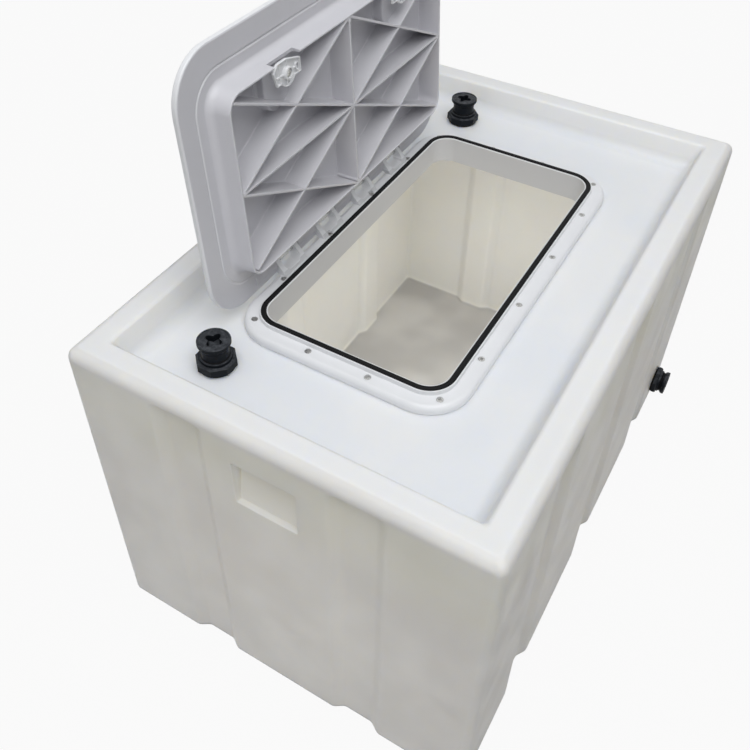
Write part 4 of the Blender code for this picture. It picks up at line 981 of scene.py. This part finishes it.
def well_outline(x):
    """A finger well: straight sides, a round end towards the hinge and soft front corners."""
    half, corner = WELL_WIDTH / 2, WELL_WIDTH / 5
    back, front = LATCH_Y + WELL_REACH_BACK - half, LATCH_Y - WELL_REACH_FRONT + corner
    return np.concatenate((bend(x, back, half, 0, 180, 24),
                           bend(x - half + corner, front, corner, 180, 270, 6),
                           bend(x + half - corner, front, corner, 270, 360, 6)))


def scallop_outline(centre, half):
    """A half-oval bite out of the lid's hinge edge: straight in, then half an ellipse."""
    square_in = 0.6 * SCALLOP_DEPTH
    bite = bend(0.0, 0.0, 1.0, 180, 0, 24) * (half, square_in - SCALLOP_DEPTH) + (centre, -square_in)
    outer = 2 * SCALLOP_DEPTH
    return anticlockwise(bite, ((centre + half, outer), (centre - half, outer)))


def lid_ribs():
    """The skirt's lattice in the photograph: one long rib, one across, two diagonals and a diamond,
    as Boolean steps that each hold ribs that don't touch."""
    low = SKIRT_END + RIB_DROP
    into = SKIRT_DRAFT + SKIRT_WALL / 2
    x, y, middle = SKIRT_X - into, SKIRT_Y - into, -LID_MIDDLE
    corner = 0.3 * (FRAME_CORNER_R - OPENING_INSET)
    cx, cy = x - corner, y - corner
    lines = (
        (((-x, 0), (x, 0)),), (((0, -y), (0, y)),), (((-cx, -cy), (cx, cy)),), (((-cx, cy), (cx, -cy)),),
        (((-x, 0), (0, y)), ((0, -y), (x, 0))), (((0, y), (x, 0)), ((-x, 0), (0, -y))))
    steps = [(JOIN, *[rib((a[0], middle + a[1]), (b[0], middle + b[1]), low) for a, b in group])
             for group in lines]
    post = lathe(((POST_R - 0.0004, low - 0.0003), (POST_R, low + 0.0003),
                  (POST_R + 0.0003, PLATE_UNDER + 0.001)), 20)
    px, py = x - POST_INSET, y - POST_INSET
    posts = [moved(post, (at_x, middle + at_y, 0.0))
             for at_x, at_y in ((0.0, 0.0), (-px, 0.0), (px, 0.0), (0.0, -py), (0.0, py))]
    return steps + [(JOIN, *posts)]


def make_lid(s):
    """The lid: skin, rib lattice, two finger wells with shaft bosses, skirt notches for the cams,
    scallops along the hinge and five knuckles."""
    boss_end = CAM_TOP + WASHER_THICK + 2 * GAP
    front = -LID_MIDDLE - SKIRT_Y
    boss = lathe(((BOSS_R, boss_end), (BOSS_R + 0.0006, WELL_BOTTOM - 0.002),
                  (BOSS_R + 0.0012, WELL_BOTTOM - 0.0006), (BOSS_R + 0.0030, WELL_BOTTOM + 0.0008)))
    shaft = lathe(((SHAFT_R + RUN, boss_end - THROUGH), (SHAFT_R + RUN, LID_TOP)))
    notch = box((-NOTCH_WIDTH / 2, front - SKIRT_ROOT, SKIRT_END - THROUGH),
                (NOTCH_WIDTH / 2, front + 2 * SKIRT_WALL + SKIRT_DRAFT, SKIRT_END + NOTCH_DEPTH))
    wells, bosses, recesses, holes = [], [], [], []
    for x in (-LATCH_X, LATCH_X):
        outline = well_outline(x)
        wells.append(prism(outline, (PLATE_UNDER + 0.0012, -0.003), (PLATE_UNDER - 0.0002, -0.003),
                           (PLATE_UNDER - 0.0012, -0.0012), (PLATE_UNDER - 0.003, -0.0003),
                           (WELL_BOTTOM + 0.003, 0.0), (WELL_BOTTOM + 0.0012, 0.0006),
                           (WELL_BOTTOM + 0.0003, 0.0018), (WELL_BOTTOM, 0.003)))
        recesses.append(prism(outline, (WELL_INSIDE, WELL_WALL + 0.002),
                              (WELL_INSIDE + 0.0006, WELL_WALL + 0.0008), (WELL_INSIDE + 0.002, WELL_WALL),
                              (LID_TOP + 2 * LID_CROWN, WELL_WALL)))
        bosses.append(moved(boss, (x, LATCH_Y, 0.0)))
        holes += [moved(shaft, (x, LATCH_Y, 0.0)), moved(notch, (x, 0.0, 0.0))]
    half = FRAME_KNUCKLE_LENGTH / 2 + KNUCKLE_SIDE_GAP
    scallops = [prism(scallop_outline(centre, half), (LID_UNDER - THROUGH, 0.0), (LID_TOP + THROUGH, 0.0))
                for centre in FRAME_KNUCKLES]
    outline = knuckle_outline(((-2 * BARREL_R, LID_UNDER + 0.0005), (-2 * BARREL_R, LID_TOP - 0.0005)))
    half = LID_KNUCKLE_LENGTH / 2
    barrels = [bar_x(outline, centre - half, centre + half, KNUCKLE_EDGE) for centre in LID_KNUCKLES]
    mesh = carve(lid_shape(s), *lid_ribs(), (JOIN, *wells), (JOIN, *bosses), (CUT, *recesses),
                 (CUT, *holes), (CUT, *scallops), (JOIN, *barrels), (CUT, pin_bore()))
    piece("hatch_lid_moulding", mesh, lid_plastic(tuple(s.colour)), "lid", ["hatch_lid"],
          LID_PLACE)


# Latches, each about its own axis

def cam_outline(side):
    """The latch cam: a lobe that swings to the front, a straight front edge that stands in the
    skirt's notch, a tail, and a round heel."""
    front = LATCH_FROM_SKIRT - SKIRT_DRAFT
    shoulder = 0.85 * front
    points = [(-0.67 * CAM_TAIL, -front), (0, -front), (CAM_HUB_R, -shoulder),
              (LOBE_REACH, -CAM_LOBE_HALF), (LOBE_REACH, CAM_LOBE_HALF),
              *bend(0.0, 0.0, CAM_ARC_R, 33, 145, 16),
              (-0.78 * CAM_TAIL, 0.6 * CAM_ARC_R), (-0.9 * CAM_TAIL, 0), (-CAM_TAIL, -CAM_LOBE_HALF)]
    return anticlockwise(np.array(points) * (-side, 1.0))


def cam_mesh(side):
    """A skeleton moulding: a thin floor, a wall all round its edge, a ring round the screw, webs
    from the ring to the wall, and a slot with its own wall through the lobe."""
    soft, web, high = CAM_EDGE, CAM_RIM / 2, CAM_TOP - CAM_FLOOR / 2
    hub_low = SHAFT_END - CAM_HUB_PROUD
    tray = prism(cam_outline(side), (CAM_TOP, soft), (CAM_TOP - soft, 0.0), (SHAFT_END + soft, 0.0),
                 (SHAFT_END, soft), (SHAFT_END, CAM_RIM), (CAM_TOP - CAM_FLOOR, CAM_RIM + 0.0002))
    hub = lathe(((CAM_HUB_R - 0.0007, hub_low), (CAM_HUB_R - 0.0003, hub_low + soft), (CAM_HUB_R, high)))
    slot_x, tail_x = -side * 0.75 * LOBE_REACH, side * 0.55 * CAM_TAIL
    webs = [(JOIN, box((x0, y0, SHAFT_END + 0.0008), (x1, y1, high))) for x0, x1, y0, y1 in (
        (*sorted((slot_x, side * 0.75 * CAM_TAIL)), -web, web),
        (-web, web, -0.9 * CAM_ARC_R, 0.95 * CAM_ARC_R),
        (tail_x - web, tail_x + web, -0.9 * CAM_ARC_R, 0.62 * CAM_ARC_R))]
    slot = np.concatenate((bend(slot_x, CAM_SLOT_R, CAM_SLOT_R, 0, 180, 8),
                           bend(slot_x, -CAM_SLOT_R, CAM_SLOT_R, 180, 360, 8)))
    boss = prism(slot, (SHAFT_END + 0.0002, -CAM_SLOT_WALL), (high, -CAM_SLOT_WALL - 0.0002))
    pocket = lathe(((CAM_POCKET_R, hub_low - THROUGH), (CAM_POCKET_R, SHAFT_END)))
    grown = SHAFT_SQUARE / 2 + RUN
    return carve(tray, *webs, (JOIN, hub), (JOIN, boss),
                 (CUT, pocket, prism(slot, (SHAFT_END - THROUGH, 0.0), (CAM_TOP + THROUGH, 0.0))),
                 (CUT, box((-grown, -grown, SHAFT_END - THROUGH), (grown, grown, CAM_TOP + THROUGH))))


def knob_mesh():
    """A round knob in its finger well: a disc with a rolled edge, a bar to turn it by, a shaft and
    the square that drives the cam, bored for the screw."""
    low = WELL_INSIDE + SEAL_RING_THICK + 2 * GAP
    high, top, r = low + KNOB_DISC, low + KNOB_GRIP_HEIGHT, KNOB_EDGE
    profile = np.concatenate((
        ((SHAFT_R - 0.0003, CAM_TOP + GAP), (SHAFT_R, CAM_TOP + 2 * GAP), (SHAFT_R, low)),
        bend(KNOB_R - r, low + r, r, -90, 0, 5), bend(KNOB_R - r, high - r, r, 0, 90, 5),
        ((KNOB_R - 0.0024, high - 0.0003), (0.4 * KNOB_R, high - 0.0003))))
    half_x, half_y = KNOB_GRIP_WIDTH / 2, KNOB_GRIP_LENGTH / 2
    outline = ring_grid(ring_plan(8), np.array([(half_x, half_y, 0.92 * half_x, 0.0)]))[0, :, :2]
    grip = prism(outline, (high - 0.001, -0.0009), (high - 0.0003, -0.0009), (high + 0.0006, -0.0001),
                 (top - 0.0018, 0.0006), (top - 0.0006, 0.0011), (top, 0.0022))
    half = SHAFT_SQUARE / 2
    square = box((-half, -half, SHAFT_END), (half, half, CAM_TOP + 3 * GAP))
    bore = lathe(((LATCH_SCREW_R + RUN, SHAFT_END - THROUGH),
                  (LATCH_SCREW_R + RUN, SHAFT_END + LATCH_SCREW_LENGTH + GAP)), 24)
    return carve(lathe(profile, 64), (JOIN, grip), (JOIN, square), (CUT, bore))


def latch_screw():
    """A pan-head screw with a cross of two slots."""
    head, seat, half = LATCH_SCREW_HEAD_R, SHAFT_END - GAP, LATCH_SCREW_SLOT
    crown = bend(0.0, 0.0, 1.0, -90, 0, 6)[1:] * (head, LATCH_SCREW_HEAD) + (0.0, seat - 0.0002)
    screw = lathe(np.concatenate((crown, ((head, seat), (LATCH_SCREW_R, seat),
                                          (LATCH_SCREW_R, seat + LATCH_SCREW_LENGTH)))), 32)
    low, high = seat - LATCH_SCREW_HEAD - 0.001, seat - 0.55 * LATCH_SCREW_HEAD
    return carve(screw, *[(CUT, box((-x, -y, low), (x, y, high)))
                          for x, y in ((half, 0.7 * head), (0.7 * head, half))])


def make_latches(steel):
    """Both quarter-turn latches: knob, seal ring, washer, cam and the screw that holds it."""
    white = bpy.data.materials["white_hatch_plastic"]
    rubber = bpy.data.materials["black_seal_rubber"]
    inner = SHAFT_R + RUN
    ring = lathe(ring_section(inner, inner + SEAL_RING_WIDTH, WELL_INSIDE + GAP, SEAL_RING_THICK, 0.0004),
                 32, True)
    washer = lathe(ring_section(inner, WASHER_R, CAM_TOP + GAP, WASHER_THICK, 0.0002), 32, True)
    for side, name in ((-1, "latch_left"), (1, "latch_right")):
        place = LID_PLACE @ Matrix.Translation((side * LATCH_X, LATCH_Y, 0.0))
        for shown, mesh, finish, body, slot, replaced in (
                ("_turn_knob", knob_mesh(), white, name, "hatch_plastic", "_knob"),
                ("_rubber_ring", ring, rubber, "lid", "seal_rubber", "_seal_ring"),
                ("_thrust_washer", washer, steel, name, "screw_steel", "_washer"),
                ("_skeleton_cam", cam_mesh(side), white, name, "hatch_plastic", "_cam"),
                ("_pan_screw", latch_screw(), steel, name, "screw_steel", "_screw")):
            piece(name + shown, mesh, finish, body, [name + replaced], place)


# Bulkhead fittings, out of the wall along their own +Z

def fitting_body(base_thick):
    """Body of a bulkhead fitting as one turned grid whose base rows are octagons: threaded tube,
    chamfered base, collar with a fine groove at its foot, and bore."""
    octagon = polygon_radius(8, BASE_ACROSS_CORNERS, math.pi / 8)
    low = WASHER_SOFT + 2 * GAP
    high = low + base_thick
    top, shoulder = high + COLLAR_HEIGHT - COLLAR_EDGE, octagon - BASE_CHAMFER
    return skin(polar_grid(
        FITTING_COLUMNS, (BORE_R, -TUBE_BELOW), (TUBE_R - 0.0012, -TUBE_BELOW),
        (TUBE_R - 0.0004, -TUBE_BELOW + 0.0008), *thread_rows(TUBE_R, -TUBE_BELOW + 0.001, -0.0005),
        (TUBE_R, low), (octagon - 0.0008, low), (octagon, low + 0.0008),
        (octagon, high - BASE_CHAMFER - 0.0003), (octagon - 0.0004, high - BASE_CHAMFER),
        (shoulder, high - 0.0004), (shoulder - 0.0005, high), (COLLAR_R + 0.0012, high),
        (COLLAR_R + 0.0009, high - 0.0007), (COLLAR_R + 0.0002, high - 0.0007), (COLLAR_R, high + 0.0001),
        *bend(COLLAR_R - COLLAR_EDGE, top, COLLAR_EDGE, 0, 90),
        *bend(BORE_R + COLLAR_EDGE, top, COLLAR_EDGE, 90, 180, 3)), close_rows=True)


def plug_shape(base_thick, neck_height):
    """Plug of a fitting as one turned grid: threaded shank, waisted neck, flared disc with a thin
    edge, a dished top with four raised marks, and a four-lobed key recess of radius
    KEY_R plus KEY_LOBE times cos 4a."""
    angle = 2 * np.pi * np.arange(FITTING_COLUMNS) / FITTING_COLUMNS
    seat = WASHER_SOFT + 2 * GAP + base_thick + COLLAR_HEIGHT + ORING_THICK + 2 * GAP
    shank, end = BORE_R - RUN, seat - PLUG_SHANK_LENGTH
    head = seat + neck_height
    top = head + PLUG_FLARE + PLUG_HEAD_THICK
    floor = top - PLUG_DISH
    share = np.linspace(0.05, 1.0, 12)
    waist = NECK_WAIST * np.abs(np.sin(np.pi * share)) ** 0.6 - NECK_SPREAD * share ** 4
    flare = np.linspace(0.0, 1.0, 7)[1:]
    spread = NECK_R + NECK_SPREAD + (PLUG_HEAD_R - NECK_R - NECK_SPREAD) * flare
    mark = np.clip(1.3 * np.cos(4 * (angle - math.pi / 4)) - 0.85, 0.0, 0.45) * MARK_HEIGHT
    lobes = KEY_R + KEY_LOBE * np.cos(4 * angle)
    return skin(polar_grid(
        FITTING_COLUMNS, (shank - 0.0015, end), (shank - 0.0003, end + 0.0012),
        *thread_rows(shank, end + 0.0015, seat - 0.0005),
        (shank, seat), (NECK_R - 0.0005, seat), (NECK_R, seat + 0.0004),
        *zip(NECK_R - waist, seat + neck_height * share), *zip(spread, head + PLUG_FLARE * flare ** 1.6),
        *bend(PLUG_HEAD_R - PLUG_EDGE, top - PLUG_EDGE, PLUG_EDGE, 0, 90),
        (PLUG_HEAD_R - PLUG_RIM, top), (PLUG_HEAD_R - PLUG_RIM - 0.0008, floor),
        *[(radius, floor + raised * mark) for radius, raised in MARK_RINGS],
        (lobes + 0.0014, floor), (lobes + 0.0010, floor + 0.0005), (lobes + 0.0004, floor + 0.0005),
        (lobes, floor), (lobes - 0.0003, top - KEY_DEPTH), (0.3 * lobes, top - KEY_DEPTH)))


def nut_shape():
    """Hexagonal lock nut with chamfered corners and a plain bore, as one turned grid."""
    hexagon = polygon_radius(6, NUT_ACROSS_CORNERS)
    high, bore = -WALL - GAP, TUBE_R + GAP
    low = high - NUT_THICK
    cone = NUT_ACROSS_CORNERS / 2 * math.cos(math.pi / 6)
    return skin(polar_grid(
        FITTING_COLUMNS, (bore, high), (hexagon - 0.0008, high), (hexagon, high - 0.0008),
        (hexagon, low + 0.0022), (np.minimum(hexagon, cone + 0.0012), low + 0.0009),
        (np.minimum(hexagon, cone) - 0.0006, low), (bore + 0.0008, low), (bore, low + 0.0008)),
        close_rows=True)


def make_fittings(s):
    """The three bulkhead fittings: body, gasket, lock nut, plug and the plug's ring."""
    black = black_moulding(tuple(s.colour))
    rubber = bpy.data.materials["black_seal_rubber"]
    outer = BASE_ACROSS_CORNERS / 2 * math.cos(math.pi / 8) - 0.001
    gasket = lathe(ring_section(TUBE_R + GAP, outer, GAP, WASHER_SOFT, 0.0006), 64, True)
    for name, (place, base_thick, neck) in FITTINGS.items():
        plug = "drain_plug" if name == "drain" else name.replace("fitting", "plug")
        collar = WASHER_SOFT + 3 * GAP + base_thick + COLLAR_HEIGHT
        oring = lathe(ring_section(BORE_R + 0.001, COLLAR_R - 0.002, collar, ORING_THICK, 0.0009), 64, True)
        for shown, mesh, finish, body, slot, replaced, sharp in (
                ("_octagon_body", fitting_body(base_thick), black, "tank", "black_plastic", "_body", 34.0),
                ("_wall_gasket", gasket, rubber, "tank", "seal_rubber", "_gasket", 30.0),
                ("_hex_nut", nut_shape(), black, "tank", "black_plastic", "_lock_nut", 30.0),
                ("_screw_plug", plug_shape(base_thick, neck), black, plug, "black_plastic", "_plug", 34.0),
                ("_plug_oring", oring, rubber, plug, "seal_rubber", "_plug_ring", 30.0)):
            piece(name + shown, mesh, finish, body, [name + replaced], place, sharp)


# Stage

CAMERA_PLACE = (-0.9584, -0.4180, 1.3522)
CAMERA_TURN = (48.036, -0.376, -59.121)
CAMERA_SHIFT = (0.018484, -0.095177)
SKY_BRIGHT_SIDE = (-0.22, -0.10, 0.97)
PLAIN_WHITE = (1.0, 1.0, 1.0, 1.0)
GLOW_PLACES = [(share * TANK_HIGH[0], 0.0, 0.27) for share in (-0.55, 0.0, 0.55)]
GLOW_RADIUS = 0.16
GLOW_COLOUR = (1.0, 0.98, 0.93)

# Each soft box's place, the point that it faces and its side
OVERHEAD_BOX = ((-0.8, -0.65, 3.1), (0.0, 0.0, 0.5), 2.4)
LOW_BOX = ((-1.75, -0.1, 0.3), (-0.475, 0.0, 0.3), 0.9)


def seen_white(tree, lit, white, out, share=1.0):
    """Links to an output a shader for the light that falls on the object, and by a share another one
    for what the camera, a gloss or a glass sees directly."""
    rays = [node(tree, "ShaderNodeLightPath", {}, f"Is {kind} Ray")
            for kind in ("Camera", "Glossy", "Transmission")]
    direct = combined(tree, "MAXIMUM", combined(tree, "MAXIMUM", rays[0], rays[1]), rays[2])
    mixed = node(tree, "ShaderNodeMixShader", {0: both(tree, direct, share), 1: lit, 2: white})
    tree.links.new(mixed, tree.nodes[out].inputs["Surface"])


def make_floor(s):
    """A pale floor that is plain white where it is seen directly, but for the object's shadow."""
    half = s.floor_size / 2
    mesh = bpy.data.meshes.new("pale_floor")
    mesh.from_pydata([(-half, -half, 0.0), (half, -half, 0.0), (half, half, 0.0), (-half, half, 0.0)],
                     [], [(0, 1, 2, 3)])
    floor = linked("pale_floor", mesh)
    made, tree = finish_of("pale_floor", tuple(s.floor_colour), 0.9)
    glow = node(tree, "ShaderNodeEmission", {"Color": PLAIN_WHITE})
    seen_white(tree, tree.nodes["Principled BSDF"].outputs["BSDF"], glow, "Material Output", s.floor_glow)
    mesh.materials.append(made)


def make_sky(s):
    """A soft sky, brighter on one side, for light, and plain white where the camera looks past the
    floor."""
    world = bpy.data.worlds.new("soft_sky")
    bpy.context.scene.world = world
    world.use_nodes = True
    tree = world.node_tree
    toward = dot(tree, place_of(tree, "Generated"), SKY_BRIGHT_SIDE)
    soft = node(tree, "ShaderNodeBackground", {
        "Color": (*s.sky_colour, 1.0),
        "Strength": ranged(tree, toward, 0.1, 1.0, 0.12 * s.sky_strength, 2.1 * s.sky_strength)})
    white = node(tree, "ShaderNodeBackground", {"Color": PLAIN_WHITE, "Strength": 1.0})
    seen_white(tree, soft, white, "World Output")


def make_lamp(name, kind, power, place, **values):
    """A lamp at a place, and not itself seen."""
    light = bpy.data.lights.new(name, kind)
    light.energy = power
    for key, value in values.items():
        setattr(light, key, value)
    lamp = linked(name, light)
    lamp.location = place
    lamp.visible_camera = False
    return lamp


def make_soft_box(name, place, aim, size, power):
    """A square lamp turned to face a point."""
    x, y, z = np.array(aim, float) - np.array(place, float)
    lamp = make_lamp(name, "AREA", power, place, size=size)
    lamp.rotation_euler = (math.atan2(math.hypot(x, y), -z), 0.0, math.atan2(-x, y))


def make_glow(power):
    """Soft warm daylight inside the tank, for what its milky walls let through: three lamps in a
    row, so that the long walls are lit evenly."""
    for number, place in enumerate(GLOW_PLACES, 1):
        lamp = make_lamp(f"daylight_through_walls_{number}", "POINT", power / len(GLOW_PLACES), place,
                         shadow_soft_size=GLOW_RADIUS, color=GLOW_COLOUR)
        lamp.visible_glossy = False


def make_camera(s):
    """The camera of the photograph, from the fit of its rim, screws and lid corners."""
    camera = bpy.data.cameras.new("photo_camera")
    camera.sensor_width = 36.0
    camera.lens = s.focal_length
    camera.shift_x, camera.shift_y = CAMERA_SHIFT
    view = linked("photo_camera", camera)
    view.location = CAMERA_PLACE
    view.rotation_euler = [math.radians(turn) for turn in CAMERA_TURN]
    bpy.context.scene.camera = view


# Settings

def size(name, text, default):
    """A length in metres that a user may change."""
    return FloatProperty(name=name, description=text, default=default, min=0.0, precision=4,
                         subtype="DISTANCE", unit="LENGTH")


def tint(name, text, default):
    """A colour that a user may change."""
    return FloatVectorProperty(name=name, description=text, default=default, size=3, min=0.0, max=1.0,
                               subtype="COLOR")


def watts(name, text, default):
    """A lamp's power in watts that a user may change."""
    return FloatProperty(name=name, description=text, default=default, min=0.0, unit="POWER")


class TankSettings(bpy.types.PropertyGroup):
    corner_radius: size("Corner radius", "Plan radius of the tank's upright corners", 0.013)
    rim_width: size("Rim width", "Flat of the rim from the outer wall to its inner edge", 0.0375)
    rim_radius: size("Rim radius", "Radius of the rim's outer edge", 0.016)
    flute_width: size("Flute width", "Width of a wall flute at its mouth", 0.084)
    flute_floor: size("Flute floor", "Width of a wall flute at its floor", 0.040)
    flute_depth: size("Flute depth", "Depth that the flutes are pressed in", 0.010)
    colour: tint("Polyethylene", "Colour of the natural polyethylene", (0.90, 0.895, 0.885))


class HatchSettings(bpy.types.PropertyGroup):
    frame_colour: tint("Frame", "Colour of the hatch frame, knobs and cams", (0.80, 0.805, 0.82))
    seal_colour: tint("Seal", "Colour of the seals", (0.006, 0.006, 0.0065))


class LidSettings(bpy.types.PropertyGroup):
    crown: size("Crown", "Rise of the lid's face above its rim", 0.005)
    # The lid's colour is the grey of painted shade on its underside; its white plastic shows where it faces
    # up.
    colour: tint("Lid", "Colour of the lid's underside", (0.635, 0.63, 0.66))


class FittingSettings(bpy.types.PropertyGroup):
    colour: tint("Fittings", "Colour of the bulkhead fittings", (0.007, 0.009, 0.012))


class StageSettings(bpy.types.PropertyGroup):
    floor_size: size("Floor size", "Side of the square floor", 14.0)
    floor_colour: tint("Floor", "Colour of the floor", (0.26, 0.25, 0.24))
    floor_glow: FloatProperty(name="Floor glow", description="Share of plain white in the floor as seen",
                              default=0.94, min=0.0, max=1.0, subtype="FACTOR")
    sky_colour: tint("Sky", "Colour of the soft sky light", (0.93, 0.965, 1.0))
    sky_strength: FloatProperty(name="Sky strength", description="Strength of the soft sky light",
                                default=0.30, min=0.0)
    key_power: watts("Key power", "Power of the large lamp overhead", 48.0)
    fill_power: watts("Fill power", "Power of the low lamp before the end wall", 3.3)
    glow_power: watts("Inside glow", "Power of the daylight inside the tank", 1.6)
    focal_length: FloatProperty(name="Focal length", description="Focal length of the camera in mm",
                                default=42.268, min=10.0, subtype="DISTANCE_CAMERA")


# Operators

class FISHBOX_OT_tank(bpy.types.Operator):
    """Make the tank with its flutes, hand grips, rim and sunk deck"""
    bl_idname = "fishbox.tank"
    bl_label = "Tank"

    def execute(self, context):
        make_tank(context.scene.fishbox_tank)
        return {"FINISHED"}


class FISHBOX_OT_hatch_frame(bpy.types.Operator):
    """Make the hatch frame with its seal, gasket, screws and hinge rod"""
    bl_idname = "fishbox.hatch_frame"
    bl_label = "Hatch frame"

    def execute(self, context):
        settings = context.scene.fishbox_hatch
        steel = stainless_steel()
        make_frame(settings)
        make_seals(settings)
        make_screws(steel)
        make_hinge_pin(steel)
        return {"FINISHED"}


class FISHBOX_OT_lid(bpy.types.Operator):
    """Make the hatch lid with its ribs, wells, scallops and knuckles"""
    bl_idname = "fishbox.lid"
    bl_label = "Lid"

    def execute(self, context):
        make_lid(context.scene.fishbox_lid)
        return {"FINISHED"}


class FISHBOX_OT_latches(bpy.types.Operator):
    """Make both turn latches, after the hatch frame"""
    bl_idname = "fishbox.latches"
    bl_label = "Latches"

    def execute(self, context):
        make_latches(bpy.data.materials["stainless_steel"])
        return {"FINISHED"}


class FISHBOX_OT_fittings(bpy.types.Operator):
    """Make the two deck fittings and the drain, after the hatch frame"""
    bl_idname = "fishbox.fittings"
    bl_label = "Fittings"

    def execute(self, context):
        make_fittings(context.scene.fishbox_fittings)
        return {"FINISHED"}


class FISHBOX_OT_stage(bpy.types.Operator):
    """Make the floor, the light and the camera"""
    bl_idname = "fishbox.stage"
    bl_label = "Stage"

    def execute(self, context):
        settings = context.scene.fishbox_stage
        context.scene.view_settings.view_transform = "Standard"
        make_floor(settings)
        make_sky(settings)
        make_soft_box("overhead_box", *OVERHEAD_BOX, settings.key_power)
        make_soft_box("low_box", *LOW_BOX, settings.fill_power)
        make_glow(settings.glow_power)
        make_camera(settings)
        return {"FINISHED"}


class FISHBOX_PT_panel(bpy.types.Panel):
    """Lists the settings and the steps"""
    bl_idname = "FISHBOX_PT_panel"
    bl_label = "Live Fish Box"
    bl_space_type = "VIEW_3D"
    bl_region_type = "UI"
    bl_category = "Fish Box"

    def draw(self, context):
        for name in GROUPS:
            settings = getattr(context.scene, name)
            column = self.layout.column(heading=name.split("_")[1].title())
            for key in settings.bl_rna.properties.keys():
                if key not in ("rna_type", "name"):
                    column.prop(settings, key)
        for step in STEPS:
            self.layout.operator(step.bl_idname)


GROUPS = {"fishbox_tank": TankSettings, "fishbox_hatch": HatchSettings, "fishbox_lid": LidSettings,
          "fishbox_fittings": FittingSettings, "fishbox_stage": StageSettings}
STEPS = (FISHBOX_OT_tank, FISHBOX_OT_hatch_frame, FISHBOX_OT_lid, FISHBOX_OT_latches,
         FISHBOX_OT_fittings, FISHBOX_OT_stage)


def register():
    for cls in (*GROUPS.values(), *STEPS, FISHBOX_PT_panel):
        bpy.utils.register_class(cls)
    for name, group in GROUPS.items():
        setattr(bpy.types.Scene, name, PointerProperty(type=group))


def unregister():
    for name in GROUPS:
        delattr(bpy.types.Scene, name)
    for cls in reversed((*GROUPS.values(), *STEPS, FISHBOX_PT_panel)):
        bpy.utils.unregister_class(cls)


def main():
    """Registers the add-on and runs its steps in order."""
    register()
    bpy.ops.fishbox.tank()
    bpy.ops.fishbox.hatch_frame()
    bpy.ops.fishbox.lid()
    bpy.ops.fishbox.latches()
    bpy.ops.fishbox.fittings()
    bpy.ops.fishbox.stage()


if __name__ == "__main__":
    main()
